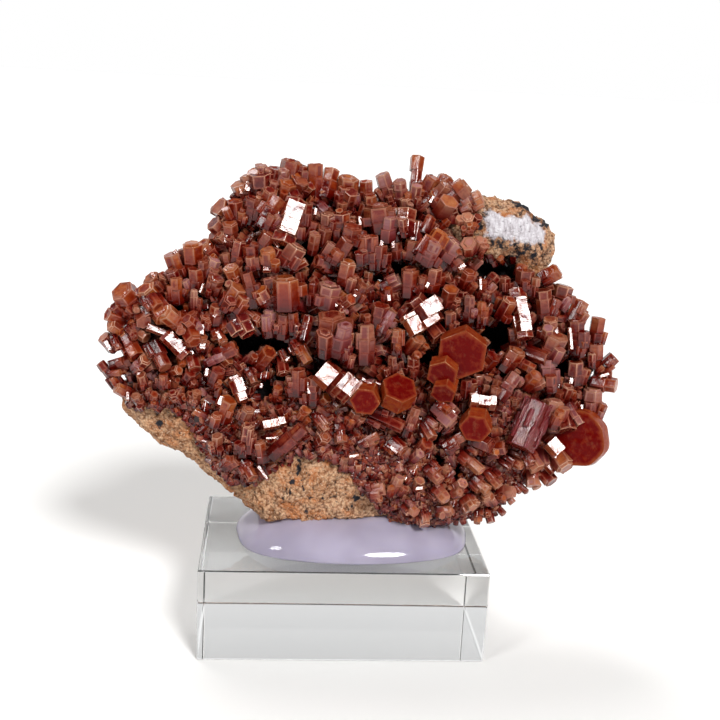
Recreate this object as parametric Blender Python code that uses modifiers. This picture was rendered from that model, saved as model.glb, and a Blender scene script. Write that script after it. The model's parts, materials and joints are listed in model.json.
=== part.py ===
"""Vanadinite crystals on a piece of matrix rock, glued upright on a clear acrylic display block.

Metres, +Z up. The origin is the middle of the block's underside and the crystal face looks
towards -Y. The rock leans back a little, and its crystals are placed on its front face in
millimetres: right along the face, up along the face, and out towards the viewer.
"""
import math
import random

import bmesh
import bpy
from mathutils import Matrix, Vector, noise

MM = 0.001
GAP = 0.3 * MM                    # between pieces that touch

# Display block, the stock size of 1 1/2 x 1 x 1/2 inch
BLOCK_WIDTH = 38.1 * MM
BLOCK_DEPTH = 25.4 * MM
BLOCK_HEIGHT = 12.7 * MM
BLOCK_EDGE = 0.25 * MM            # polished edge

# Glue bed between the block and the rock
GLUE_CENTRE = (1.3 * MM, -0.3 * MM)
GLUE_WIDTH = 33.0 * MM
GLUE_DEPTH = 20.4 * MM
GLUE_HEIGHT = 4.3 * MM

# How the rock stands: where the foot of its front face is, and how far it leans back
FACE_FOOT = Vector((0.0, -6.0, 15.0)) * MM
LEAN = math.radians(12.0)
FACE_RIGHT = Vector((1.0, 0.0, 0.0))
FACE_UP = Vector((0.0, math.sin(LEAN), math.cos(LEAN)))
FACE_OUT = Vector((0.0, -math.cos(LEAN), math.sin(LEAN)))

# Outline of the bare rock on its face, right and up in mm, anticlockwise from the left tip
ROCK_OUTLINE = [
    (-30.4, 20.0), (-30.4, 16.2), (-28.3, 12.9), (-25.6, 11.3), (-23.0, 10.6), (-20.0, 8.7),
    (-17.0, 5.9), (-13.6, 3.2), (-11.0, 1.0), (-5.9, 0.8), (0.0, 1.2), (4.6, 1.3), (8.0, 1.4),
    (11.0, 1.0), (15.0, 1.5), (18.0, 2.0), (21.0, 2.2), (23.0, 5.4), (26.5, 8.0), (30.5, 10.5),
    (33.0, 13.0), (33.8, 17.0), (34.4, 21.0), (33.4, 26.0), (31.0, 30.0), (28.0, 34.5),
    (26.8, 38.0), (27.7, 40.4), (27.2, 42.2), (24.9, 44.4), (22.8, 46.2), (20.6, 46.2),
    (17.7, 46.8), (14.0, 46.3), (9.0, 46.4), (4.0, 45.6), (-2.0, 45.6), (-8.0, 47.2),
    (-12.0, 46.8), (-15.2, 43.6), (-17.8, 39.6), (-20.8, 36.0), (-25.0, 32.6), (-28.6, 30.2),
    (-30.6, 26.0),
]
ROCK_MIDDLE = (1.5, 24.0)
ROCK_THICKNESS = 14.0             # mm from the face to the rough back
ROCK_COLUMNS = 14                 # divisions of the rock's surface
ROCK_ROWS = 11
ROCK_LAYERS = 3
ROCK_SEED = 5
ROCK_ROUGHNESS = 0.4              # mm
FACET_ALLOWANCE = 1.015           # the flat facets between its points cut inside the outline
CRYSTAL_GROWTH = 1.1              # over the widths read across the prism faces

# Hollows between the crystal groups: right, up, radius and depth in mm
HOLLOWS = [
    (-14.0, 25.3, 3.2, 2.6), (-9.3, 24.8, 3.0, 2.4), (-6.0, 38.5, 2.2, 1.8),
    (19.2, 35.8, 3.6, 3.4), (19.3, 27.0, 2.6, 2.6), (-11.0, 18.8, 2.6, 1.6),
    (5.6, 36.3, 2.6, 1.4), (10.4, 25.0, 2.4, 1.8), (28.8, 23.3, 2.2, 1.8), (-21.8, 23.0, 2.4, 1.4),
]
# Swells that stand out of the face, in the same way
SWELLS = [
    (19.5, 42.0, 6.5, 2.4), (14.0, 40.5, 3.4, 1.2), (-5.5, 6.0, 7.0, 1.2), (12.0, 9.0, 8.0, 1.0),
    (0.0, 31.0, 14.0, 1.2), (-22.0, 28.0, 8.0, 0.8), (24.0, 15.0, 7.0, 1.0),
]

# The dark crust of fine crystals that the larger ones stand in
CRUST_THICKNESS = 1.0             # mm

# Crystal groups: each owns the part of the face that is nearest to its middle (right, up in mm)
GROUPS = {
    "crystals_left_tip": (-30.6, 22.6),
    "crystals_left_rim": (-28.4, 30.2),
    "crystals_left_face": (-22.8, 26.4),
    "crystals_left_shoulder": (-20.8, 35.0),
    "crystals_left_crest": (-13.2, 44.4),
    "crystals_middle_crest": (-4.6, 45.2),
    "crystals_crest_fan": (6.3, 46.4),
    "crystals_right_crest": (12.6, 45.4),
    "crystals_upper_left": (-12.0, 37.4),
    "crystals_upper_middle": (-2.4, 38.8),
    "crystals_upper_centre": (4.6, 40.4),
    "crystals_upper_right": (10.9, 37.8),
    "crystals_left_middle": (-16.0, 29.4),
    "crystals_left_barrel": (-9.0, 30.0),
    "crystals_centre": (-2.4, 29.9),
    "crystals_centre_columns": (3.9, 27.2),
    "crystals_lower_left": (-23.8, 19.6),
    "crystals_left_hollow": (-14.2, 20.6),
    "crystals_low_centre": (-6.2, 21.2),
    "crystals_red_plates": (4.9, 19.4),
    "crystals_right_middle": (14.6, 32.2),
    "crystals_tall_red": (22.3, 31.2),
    "crystals_right_shoulder": (27.8, 31.0),
    "crystals_right_rim": (32.8, 26.2),
    "crystals_right_face": (25.4, 24.6),
    "crystals_right_prisms": (19.9, 21.9),
    "crystals_right_edge": (33.6, 19.6),
    "crystals_lower_right": (15.9, 15.0),
    "crystals_lower_middle": (8.3, 14.4),
    "crystals_low_foot": (-2.4, 14.6),
    "crystals_lower_prisms": (-13.6, 12.0),
    "crystals_right_druse": (11.0, 6.8),
    "crystals_right_foot": (26.6, 10.2),
}
# Patches of rock that carry no crystals, which bound the groups in the same way
BARE_PATCHES = [(-26.0, 12.0), (-5.0, 5.6), (20.4, 42.4), (19.6, 5.4)]

# The largest crystals, each a piece of its own. Rows are right, up, radius, length, the way
# the free end points on the face in degrees, degrees out towards the viewer, and mm of lift.
SINGLE_CRYSTALS = {
    "crystal_red_plate": [(31.5, 14.2, 4.1, 3.4, 180, 66, 0.2)],
    "crystal_rough_purple": [(23.9, 16.1, 2.1, 6.8, 82, 14, 1.0)],
    "crystal_hexagonal_tablet": [(14.3, 25.5, 3.2, 2.6, 245, 68, 1.6)],
    "crystal_bright_pair": [(9.7, 30.1, 1.7, 5.2, -50, 14, 1.3), (7.6, 28.7, 1.3, 4.4, -62, 14, 1.4)],
    "crystal_mirror_pair": [(-3.0, 21.8, 1.5, 4.6, -52, 16, 1.4), (-0.1, 20.2, 1.6, 5.2, -50, 14, 1.5)],
    "crystal_diagonal_prism": [(-8.0, 12.9, 1.05, 5.8, 46, 8, 1.4)],
    "crystal_crest_prism": [(8.2, 48.7, 1.0, 5.2, 92, 4, -1.2)],
}

# The other crystals of the face, in rows of the same kind
CRYSTALS = [
    # left tip and lower left
    (-32.1, 20.8, 0.75, 5.0, 128, 4, -0.3), (-30.3, 22.3, 0.9, 3.6, 20, 15, 0.0),
    (-31.6, 24.9, 0.9, 2.6, 130, 25, 0.0), (-28.7, 24.9, 1.3, 4.0, -55, 25, 0.4),
    (-27.2, 22.6, 0.95, 2.4, 45, 45, 0.4), (-27.1, 20.3, 0.8, 2.4, 100, 40, 0.3),
    (-29.6, 18.6, 0.7, 2.4, 150, 25, 0.0), (-24.3, 20.2, 0.65, 2.4, 90, 25, 0.5),
    (-23.0, 21.6, 0.85, 2.4, 20, 50, 0.3), (-21.3, 20.9, 0.85, 2.4, 60, 40, 0.2),
    (-25.6, 18.0, 0.7, 2.2, 70, 50, 0.0), (-22.6, 18.2, 0.7, 2.2, 120, 45, 0.0),
    (-27.6, 17.6, 0.7, 2.2, 110, 45, 0.0), (-20.0, 18.2, 0.7, 2.4, 80, 40, 0.0),
    # left rim and left face
    (-29.2, 30.7, 1.7, 3.6, 125, 38, 0.0), (-26.1, 31.2, 1.25, 3.2, 130, 38, 0.2),
    (-25.2, 30.0, 1.45, 4.0, -50, 40, 0.8), (-30.6, 28.4, 1.25, 3.0, 160, 30, 0.0),
    (-28.7, 29.0, 0.95, 2.4, 60, 60, 0.5), (-27.2, 28.6, 1.1, 2.8, -60, 60, 0.5),
    (-30.4, 26.5, 1.1, 3.0, 140, 35, 0.0), (-27.5, 26.6, 0.9, 2.6, -30, 40, 0.1),
    (-22.6, 28.2, 1.45, 4.4, 140, 30, 0.6), (-20.9, 26.8, 1.25, 3.2, -60, 40, 0.6),
    (-25.0, 26.8, 0.75, 3.2, -12, 10, 1.3), (-22.8, 25.1, 1.3, 4.0, -42, 8, 1.4),
    (-24.9, 23.9, 1.1, 4.4, -58, 25, 0.8), (-20.7, 23.4, 1.1, 3.6, -70, 30, 0.2),
    (-19.3, 27.9, 0.75, 2.2, 75, 30, 0.5), (-19.4, 25.4, 0.85, 2.4, 75, 35, 0.6),
    # left shoulder
    (-22.9, 31.9, 0.9, 4.0, 92, 15, 0.8), (-20.6, 30.7, 0.65, 3.2, 90, 20, 0.6),
    (-20.4, 33.6, 1.05, 3.2, 95, 20, 0.4), (-21.0, 36.1, 1.45, 4.4, 95, 20, 0.4),
    (-23.1, 35.0, 1.3, 4.2, 110, 20, 0.2), (-18.6, 35.1, 0.95, 2.8, 70, 20, 0.5),
    (-19.0, 37.5, 1.1, 2.8, 125, 30, 0.0), (-25.6, 33.0, 1.1, 2.6, 130, 35, 0.0),
    (-24.8, 33.1, 0.8, 2.6, 80, 40, 0.3), (-18.0, 32.8, 1.0, 2.8, 70, 35, 0.3),
    # left crest
    (-17.5, 40.4, 1.2, 3.0, 140, 30, 0.0), (-16.9, 42.9, 1.2, 2.6, 150, 35, 0.0),
    (-14.7, 45.3, 1.1, 2.8, 115, 25, 0.0), (-12.4, 46.4, 1.6, 5.4, 92, 12, 0.2),
    (-8.8, 47.9, 1.35, 3.6, 80, 15, 0.0), (-15.6, 42.5, 1.05, 3.4, 95, 25, 0.5),
    (-13.7, 42.6, 0.9, 4.0, 80, 25, 0.6), (-11.4, 42.2, 1.2, 5.4, 68, 15, 0.9),
    (-9.3, 41.3, 1.5, 5.0, 72, 10, 0.9), (-16.2, 39.9, 1.1, 3.0, 95, 35, 0.2),
    # middle crest
    (-5.3, 46.8, 1.25, 5.2, 92, 10, 0.2), (-3.5, 46.5, 1.1, 4.6, 88, 12, 0.0),
    (-1.3, 45.9, 1.5, 3.8, 85, 25, 0.0), (-7.6, 46.0, 1.1, 2.8, 60, 50, 0.2),
    (-7.1, 41.8, 1.2, 4.6, 85, 12, 0.5), (-1.9, 43.4, 0.9, 2.6, 85, 40, 0.2),
    # crest fan and right crest
    (4.2, 46.4, 1.0, 4.4, 112, 20, 0.3), (5.9, 45.6, 1.05, 4.2, 98, 30, 0.5),
    (7.7, 45.2, 1.05, 4.0, 85, 30, 0.5), (1.4, 46.0, 1.1, 3.0, 95, 20, 0.0),
    (9.6, 46.6, 1.1, 3.6, 65, 25, 0.0), (11.4, 47.0, 1.1, 3.2, 75, 20, 0.0),
    (13.2, 46.0, 1.6, 3.8, 55, 30, 0.0), (15.3, 45.2, 1.0, 2.8, 40, 35, 0.0),
    (11.6, 44.0, 1.1, 3.0, 60, 45, 0.2), (2.0, 44.3, 0.85, 2.4, 95, 25, 0.5),
    # upper left and upper middle
    (-11.8, 38.4, 1.05, 3.6, 60, 25, 0.7), (-13.3, 36.4, 0.95, 3.8, 98, 15, 0.8),
    (-11.1, 36.5, 1.2, 3.0, 100, 55, 0.6), (-15.3, 37.1, 1.0, 3.6, 80, 20, 0.4),
    (-8.4, 36.9, 1.75, 3.6, 35, 50, 0.5), (-15.5, 34.2, 1.0, 3.0, 110, 35, 0.2),
    (-3.6, 41.4, 1.05, 2.8, 90, 20, 0.6), (-1.8, 41.6, 1.05, 2.8, 95, 20, 0.8),
    (-4.1, 39.6, 1.2, 2.8, 80, 30, 0.8), (-0.8, 39.8, 1.3, 3.2, 80, 30, 0.9),
    (-2.0, 37.8, 1.3, 4.0, 60, 20, 0.8), (-3.8, 36.2, 0.95, 3.0, 170, 25, 0.4),
    (-1.2, 34.9, 1.15, 3.6, 80, 25, 0.6),
    # upper centre and upper right
    (3.1, 42.0, 1.8, 4.0, 100, 14, 1.0), (6.6, 41.6, 1.5, 4.2, 95, 10, 0.9),
    (1.3, 38.0, 1.2, 4.2, 95, 20, 0.6), (3.2, 37.2, 1.05, 3.8, 88, 20, 0.4),
    (5.6, 38.2, 0.9, 2.8, 100, 20, 0.2), (9.8, 38.6, 1.8, 5.0, 72, 22, 0.9),
    (12.5, 38.2, 1.3, 3.2, 60, 30, 0.2), (9.3, 41.6, 0.9, 2.8, 80, 20, 0.3),
    (7.3, 38.4, 0.95, 3.0, 80, 25, 0.3), (7.2, 33.9, 1.2, 4.2, 92, 18, 0.8),
    (10.2, 34.6, 1.2, 3.8, 85, 30, 0.3), (14.8, 39.1, 1.15, 2.2, 90, 72, 0.0),
    # left middle and left barrel
    (-15.6, 31.4, 1.5, 3.8, 60, 42, 0.6), (-14.5, 28.4, 1.8, 4.0, -50, 42, 0.9),
    (-13.3, 32.2, 0.95, 5.4, 106, 14, 0.9), (-17.8, 29.0, 0.95, 3.0, 80, 25, 0.5),
    (-17.2, 26.6, 0.75, 2.6, -60, 35, 0.4), (-16.6, 24.3, 1.1, 3.4, 40, 32, 0.3),
    (-8.8, 31.9, 2.05, 4.6, 95, 14, 1.1), (-10.7, 28.0, 0.95, 4.0, 95, 20, 0.8),
    (-9.1, 27.8, 1.0, 4.0, 88, 20, 0.8), (-7.7, 28.2, 0.85, 3.6, 95, 20, 0.7),
    (-11.4, 31.6, 1.0, 3.0, 120, 30, 0.5), (-6.1, 27.5, 0.65, 4.0, 92, 12, 0.7),
    # centre
    (-3.0, 27.5, 1.9, 4.8, 88, 28, 0.7), (-3.6, 31.9, 1.8, 4.0, 70, 42, 0.7),
    (-1.2, 31.2, 0.8, 2.6, 40, 45, 0.7), (-0.9, 25.2, 0.9, 4.8, 88, 14, 0.7),
    (1.8, 25.6, 1.1, 6.0, 93, 10, 1.0), (0.6, 32.6, 0.85, 2.6, 60, 30, 0.6),
    (4.4, 32.2, 0.75, 2.8, 95, 30, 0.4), (3.3, 29.6, 1.2, 3.6, 80, 25, 0.3),
    (4.2, 28.6, 0.75, 3.6, 75, 12, 1.1), (5.8, 26.0, 0.85, 4.2, 92, 15, 0.5),
    (5.5, 23.0, 0.8, 3.2, 95, 20, 0.3), (8.1, 26.0, 1.1, 3.2, 60, 45, 0.5),
    (8.2, 23.2, 0.9, 3.0, 95, 25, 0.2),
    # left hollow and low centre
    (-11.5, 23.4, 1.1, 3.6, 55, 35, 0.3), (-14.6, 19.6, 1.15, 3.4, 100, 35, 0.4),
    (-13.1, 21.4, 0.65, 2.6, -65, 25, 0.2), (-9.0, 23.0, 0.8, 3.0, -80, 35, 0.2),
    (-6.7, 25.2, 0.9, 4.4, -58, 18, 0.9), (-6.9, 20.5, 1.0, 4.2, 92, 18, 0.8),
    (-4.9, 19.4, 0.9, 4.4, 90, 18, 0.7), (-9.6, 18.9, 0.75, 2.6, 80, 35, 0.1),
    (-17.6, 20.9, 1.0, 3.0, 70, 35, 0.1),
    # red plates and columns beside them
    (2.0, 19.2, 1.85, 3.0, 240, 66, 0.8), (6.0, 19.7, 2.25, 3.2, 75, 66, 0.9),
    (11.9, 23.0, 2.0, 2.6, 245, 58, 2.2), (12.3, 20.9, 1.6, 3.2, 245, 48, 1.2),
    (15.2, 20.4, 0.9, 3.0, 90, 20, 0.6),
    # right middle
    (12.8, 29.4, 0.85, 2.4, 95, 20, 0.4), (15.3, 30.8, 0.8, 4.0, 92, 14, 0.6),
    (17.0, 30.0, 0.75, 4.0, 92, 12, 0.8), (12.4, 32.4, 1.05, 3.2, 80, 40, 0.1),
    (14.8, 34.8, 0.9, 2.8, 75, 35, 0.0), (17.2, 33.6, 0.85, 2.8, 90, 30, 0.0),
    (20.3, 31.0, 1.25, 3.4, 70, 35, 0.5),
    # tall red crystal and the right shoulder
    (22.4, 30.6, 1.45, 6.8, 96, 8, 0.9), (23.3, 34.6, 1.15, 3.8, 90, 15, 0.0),
    (25.9, 31.6, 1.2, 4.8, 100, 12, 0.3), (26.4, 28.8, 1.15, 3.0, 95, 35, 0.4),
    (27.3, 36.4, 1.2, 3.2, 35, 20, 0.0), (28.4, 32.8, 1.25, 3.6, 80, 10, 0.0),
    # right rim and right edge
    (30.6, 30.8, 1.25, 3.8, 75, 8, 0.0), (30.5, 27.4, 1.3, 5.2, 95, 12, 0.3),
    (33.6, 28.4, 1.1, 4.2, 84, 6, 0.0), (33.2, 25.0, 1.1, 4.0, 92, 12, 0.2),
    (35.2, 24.0, 1.0, 3.2, 50, 12, 0.0), (34.6, 21.6, 1.4, 3.8, -10, 20, 0.2),
    (30.7, 22.6, 1.05, 3.8, 92, 15, 0.3), (33.3, 18.6, 1.3, 4.0, 88, 10, 0.2),
    # right face and the prisms beside it
    (26.9, 26.2, 1.5, 3.8, 75, 25, 0.7), (24.5, 25.2, 1.3, 3.6, -20, 25, 0.5),
    (26.5, 22.7, 1.2, 4.2, 97, 8, 1.2), (24.0, 21.6, 1.1, 3.0, 60, 40, 0.3),
    (21.9, 27.0, 0.7, 3.6, 100, 15, 0.2), (29.0, 19.9, 1.1, 3.0, 80, 30, 0.0),
    (21.2, 24.2, 1.25, 3.8, 65, 25, 0.6), (20.6, 20.6, 1.2, 4.8, 68, 14, 1.0),
    (17.4, 18.9, 1.2, 3.4, 10, 38, 0.6), (18.2, 24.0, 0.95, 2.8, 60, 35, 0.1),
    # lower right
    (16.6, 16.1, 2.05, 3.0, 240, 62, 0.8), (17.4, 13.5, 1.35, 3.2, -20, 38, 0.5),
    (13.6, 13.3, 0.8, 3.6, 38, 14, 0.8), (13.0, 15.4, 0.65, 2.8, 50, 20, 0.5),
    (16.2, 11.0, 0.9, 4.4, -40, 12, 0.6), (19.6, 12.6, 0.9, 2.8, 20, 35, 0.0),
    (12.1, 17.3, 1.15, 3.8, -40, 18, 0.8),
    # lower middle and low foot
    (4.6, 16.3, 1.1, 5.2, -22, 14, 0.8), (8.0, 15.6, 0.8, 4.8, 74, 10, 0.9),
    (10.2, 14.9, 0.95, 2.8, -60, 35, 0.5), (9.6, 12.6, 1.1, 3.0, 60, 45, 0.2),
    (6.3, 12.8, 0.9, 2.6, -40, 40, 0.2), (2.4, 13.3, 0.75, 3.4, 35, 18, 0.4),
    (-4.0, 15.7, 0.7, 3.4, -50, 14, 0.6), (-3.6, 13.1, 0.9, 2.6, 60, 50, 0.2),
    (-1.2, 14.4, 0.65, 3.0, -80, 18, 0.4), (0.6, 16.2, 0.9, 2.8, 70, 40, 0.1),
    (-6.2, 16.4, 0.7, 2.6, 60, 35, 0.1),
    # lower prisms beside the diagonal one
    (-9.9, 15.3, 1.0, 3.0, 25, 30, 0.4), (-13.4, 12.6, 1.0, 5.0, 85, 18, 0.7),
    (-11.3, 11.2, 0.8, 3.4, 100, 20, 0.4), (-13.3, 9.1, 0.8, 3.4, -55, 18, 0.4),
    (-15.4, 9.6, 0.85, 2.8, 35, 30, 0.1), (-16.2, 16.6, 1.05, 3.8, 70, 25, 0.3),
    (-17.2, 12.2, 0.85, 2.8, 90, 35, 0.0), (-13.6, 15.9, 0.9, 3.0, 70, 35, 0.2),
    # right druse and right foot
    (6.7, 7.2, 0.8, 3.0, 75, 25, 0.2), (3.8, 6.6, 0.9, 2.8, 30, 35, 0.0),
    (11.2, 9.2, 0.8, 3.0, -45, 22, 0.3), (12.4, 6.6, 0.85, 2.8, -50, 32, 0.2),
    (9.4, 7.4, 0.65, 2.2, 80, 40, 0.0), (8.6, 4.2, 0.75, 2.4, -35, 40, 0.0),
    (14.8, 7.4, 0.95, 2.6, 60, 50, 0.0), (13.2, 3.9, 0.75, 2.2, 20, 45, 0.0),
    (16.6, 5.2, 0.8, 2.2, -60, 45, 0.0), (10.6, 2.8, 0.7, 2.2, -80, 35, 0.0),
    (27.5, 12.9, 1.0, 3.0, -50, 32, 0.7), (28.6, 11.0, 1.05, 3.2, -60, 22, 0.6),
    (27.7, 9.1, 0.85, 3.0, -45, 22, 0.1), (24.7, 11.3, 1.1, 3.4, -60, 28, 0.2),
    (22.2, 10.9, 0.95, 2.8, -30, 40, 0.0), (25.3, 8.6, 0.9, 2.6, -85, 20, 0.0),
]
ROOT_RISE = 0.9                   # mm of each crystal's root centre above the rock
TRIES = 8                         # turns of a group's prisms that are tried until it closes
SMALLEST_EDGE = 0.004 * MM
FLAT_ANGLE = math.radians(1.0)

COLOURS = {
    "acrylic": ((0.90, 0.92, 0.93), 0.05),
    "glue": ((0.72, 0.68, 0.76), 0.15),
    "rock": ((0.50, 0.32, 0.18), 0.85),
    "crystal": ((0.28, 0.06, 0.03), 0.25),
}


def clear_scene():
    for thing in list(bpy.data.objects):
        bpy.data.objects.remove(thing, do_unlink=True)


def make_material(name, kind):
    """One Principled material per piece, in its own colour."""
    colour, roughness = COLOURS[kind]
    material = bpy.data.materials.new(name)
    material.use_nodes = True
    shader = material.node_tree.nodes["Principled BSDF"]
    shader.inputs["Base Color"].default_value = (*colour, 1.0)
    shader.inputs["Roughness"].default_value = roughness
    shader.inputs["Metallic"].default_value = 0.0
    return material


def add_object(name, shape, collection):
    """Turn an edit mesh into an object in the collection."""
    mesh = bpy.data.meshes.new(name)
    shape.to_mesh(mesh)
    shape.free()
    piece = bpy.data.objects.new(name, mesh)
    collection.objects.link(piece)
    return piece


def add_cutter(name, shape, collection):
    cutter = add_object(name, shape, collection)
    cutter.hide_render = True
    cutter.display_type = 'WIRE'
    return cutter


def add_boolean(piece, operation, cutter, solver='EXACT'):
    modifier = piece.modifiers.new(operation.title(), 'BOOLEAN')
    modifier.operation = operation
    modifier.solver = solver
    modifier.object = cutter
    return modifier


def apply_modifiers(piece):
    """Bake the modifiers into the mesh."""
    bpy.context.view_layer.update()
    depsgraph = bpy.context.evaluated_depsgraph_get()
    finished = bpy.data.meshes.new_from_object(piece.evaluated_get(depsgraph))
    piece.modifiers.clear()
    piece.data = finished


def face_volume(face):
    """Signed volume between a face and the origin."""
    corners = [corner.vert.co for corner in face.loops]
    total = 0.0
    for second, third in zip(corners[1:], corners[2:]):
        total += corners[0].dot(second.cross(third)) / 6.0
    return total


def is_closed(piece):
    """Whether every edge of the mesh joins exactly two faces."""
    shape = bmesh.new()
    shape.from_mesh(piece.data)
    closed = len(shape.faces) > 0 and all(len(edge.link_faces) == 2 for edge in shape.edges)
    shape.free()
    return closed


def keep_largest_body(piece):
    """Remove the chips and closed hollows that cutting leaves, so one body stays."""
    shape = bmesh.new()
    shape.from_mesh(piece.data)
    bmesh.ops.remove_doubles(shape, verts=shape.verts, dist=SMALLEST_EDGE)
    bmesh.ops.dissolve_limit(shape, angle_limit=FLAT_ANGLE, verts=shape.verts, edges=shape.edges)
    bmesh.ops.triangulate(shape, faces=shape.faces)
    waiting = set(shape.faces)
    bodies = []
    while waiting:
        seed = waiting.pop()
        body = [seed]
        for face in body:
            for edge in face.edges:
                for neighbour in edge.link_faces:
                    if neighbour in waiting:
                        waiting.remove(neighbour)
                        body.append(neighbour)
        bodies.append((sum(face_volume(face) for face in body), body))
    bodies.sort(key=lambda entry: -entry[0])
    for volume, body in bodies[1:]:
        bmesh.ops.delete(shape, geom=body, context='FACES')
    shape.to_mesh(piece.data)
    shape.free()


def on_face(right, up, out):
    """A point given in mm along the rock's face, in metres."""
    return FACE_FOOT + (FACE_RIGHT * right + FACE_UP * up + FACE_OUT * out) * MM


def rim_distance(angle):
    """How far the rock reaches from its middle in one direction, mm."""
    middle = Vector(ROCK_MIDDLE)
    way = Vector((math.cos(angle), math.sin(angle)))
    reach = 0.0                   # the outline's farthest crossing
    for start, end in zip(ROCK_OUTLINE, ROCK_OUTLINE[1:] + ROCK_OUTLINE[:1]):
        first = Vector(start) - middle
        along = Vector(end) - Vector(start)
        turn = way.x * along.y - way.y * along.x
        if abs(turn) < 1e-9:
            continue
        distance = (first.x * along.y - first.y * along.x) / turn
        share = (first.x * way.y - first.y * way.x) / turn
        if distance > 0.0 and -1e-6 <= share <= 1.0 + 1e-6:
            reach = max(reach, distance)
    return reach


def front_rise(right, up):
    """Height of the rock's front above its flat face, mm."""
    across = right - ROCK_MIDDLE[0]
    above = up - ROCK_MIDDLE[1]
    reach = max(rim_distance(math.atan2(above, across)), 1.0)
    edge = min(math.hypot(across, above) / reach, 1.0)
    rise = 1.0 - 2.6 * edge ** 4
    for x, y, radius, depth in HOLLOWS:
        rise -= depth * math.exp(-((right - x) ** 2 + (up - y) ** 2) / radius ** 2)
    for x, y, radius, height in SWELLS:
        rise += height * math.exp(-((right - x) ** 2 + (up - y) ** 2) / radius ** 2)
    return rise


def rock_point(u, v, w):
    """Place a point of a 2 x 2 x 2 box on the rock: w runs from the back to the front."""
    x = u * math.sqrt(1.0 - 0.5 * v * v)
    y = v * math.sqrt(1.0 - 0.5 * u * u)
    edge = math.hypot(x, y)
    angle = math.atan2(y, x)
    spread = 1.0 - 0.05 * max(w, 0.0) ** 2 - 0.12 * max(-w, 0.0) ** 2
    reach = edge * rim_distance(angle) * spread * FACET_ALLOWANCE
    right = ROCK_MIDDLE[0] + reach * math.cos(angle)
    up = ROCK_MIDDLE[1] + reach * math.sin(angle)
    front = front_rise(right, up)
    back = -ROCK_THICKNESS + 4.0 * edge ** 3 + 2.0 * noise.noise(Vector((right, up, 0.0)) * 0.11)
    share = 0.5 + 0.5 * w
    out = back + (front - back) * share
    wobble = noise.noise_vector(Vector((right, up, out)) * 0.35) * ROCK_ROUGHNESS
    return on_face(right + wobble.x, up + wobble.y, out + wobble.z)


def rock_shape(swell):
    """The rock, or the rock grown outwards by some mm."""
    shape = bmesh.new()
    bmesh.ops.create_cube(shape, size=2.0)
    for axis, cuts in ((0, ROCK_COLUMNS - 1), (1, ROCK_ROWS - 1), (2, ROCK_LAYERS - 1)):
        along = [edge for edge in shape.edges if abs(edge.verts[0].co[axis] - edge.verts[1].co[axis]) > 1e-5]
        bmesh.ops.subdivide_edges(shape, edges=along, cuts=cuts, use_grid_fill=True)
    for vert in shape.verts:
        vert.co = rock_point(*vert.co)
    bmesh.ops.triangulate(shape, faces=shape.faces)
    bmesh.ops.recalc_face_normals(shape, faces=shape.faces)
    shape.normal_update()
    for vert, normal in [(vert, vert.normal.copy()) for vert in shape.verts]:
        vert.co += normal * swell * MM
    return shape


def crystal_pose(row):
    """Where a crystal's middle is and which way it points."""
    right, up, radius, length, heading, tip, lift = row
    heading = math.radians(heading)
    tip = math.radians(tip)
    axis = (FACE_RIGHT * math.cos(heading) + FACE_UP * math.sin(heading)) * math.cos(tip)
    axis += FACE_OUT * math.sin(tip)
    out = front_rise(right, up) + ROOT_RISE + lift + 0.5 * length * math.sin(tip)
    return on_face(right, up, out), axis.normalized()


def prism_shape(row, spin, extra=0.0):
    """A six-sided prism with flat ends, or a sleeve that clears it by some mm."""
    right, up, radius, length, heading, tip, lift = row
    middle, axis = crystal_pose(row)
    turn = axis.to_track_quat('Z', 'Y').to_matrix().to_4x4()
    place = Matrix.Translation(middle) @ turn @ Matrix.Rotation(spin, 4, 'Z')
    shape = bmesh.new()
    radius = radius * CRYSTAL_GROWTH
    bmesh.ops.create_cone(shape, cap_ends=True, segments=6, radius1=(radius + extra) * MM,
                          radius2=(radius * 0.96 + extra) * MM, depth=(length + 2.0 * extra) * MM,
                          matrix=place)
    return shape


def nearest_group(right, up):
    """Name of the group that owns a point of the face, or None on bare rock."""
    best = None
    best_distance = 1e9
    for name, (x, y) in list(GROUPS.items()) + [(None, patch) for patch in BARE_PATCHES]:
        distance = math.hypot(right - x, up - y)
        if distance < best_distance:
            best, best_distance = name, distance
    return best


def group_cell_shape(name):
    """The block of space that one group may fill."""
    middle = GROUPS[name]
    shape = bmesh.new()
    bmesh.ops.create_cube(shape, size=2.0)
    for vert in shape.verts:
        vert.co = on_face(vert.co.x * 60.0, 25.0 + vert.co.y * 60.0, 5.0 + vert.co.z * 11.0)
    others = [place for key, place in GROUPS.items() if key != name] + BARE_PATCHES
    walls = []
    for place in others:
        away = Vector(place) - Vector(middle)
        if away.length > 30.0:
            continue
        centre = Vector(middle) + away * 0.5
        normal = (FACE_RIGHT * away.x + FACE_UP * away.y).normalized()
        walls.append((on_face(centre.x, centre.y, 0.0) - normal * 0.5 * GAP, normal))
    foot = BLOCK_HEIGHT + GAP + GLUE_HEIGHT + GAP
    walls.append((Vector((0.0, 0.0, foot)), Vector((0.0, 0.0, -1.0))))
    for point, normal in walls:
        geometry = shape.verts[:] + shape.edges[:] + shape.faces[:]
        cut = bmesh.ops.bisect_plane(shape, geom=geometry, plane_co=point, plane_no=normal,
                                     clear_outer=True)
        rim = [item for item in cut['geom_cut'] if isinstance(item, bmesh.types.BMEdge)]
        if rim:
            bmesh.ops.edgeloop_fill(shape, edges=rim)
    bmesh.ops.recalc_face_normals(shape, faces=shape.faces)
    return shape


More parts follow.
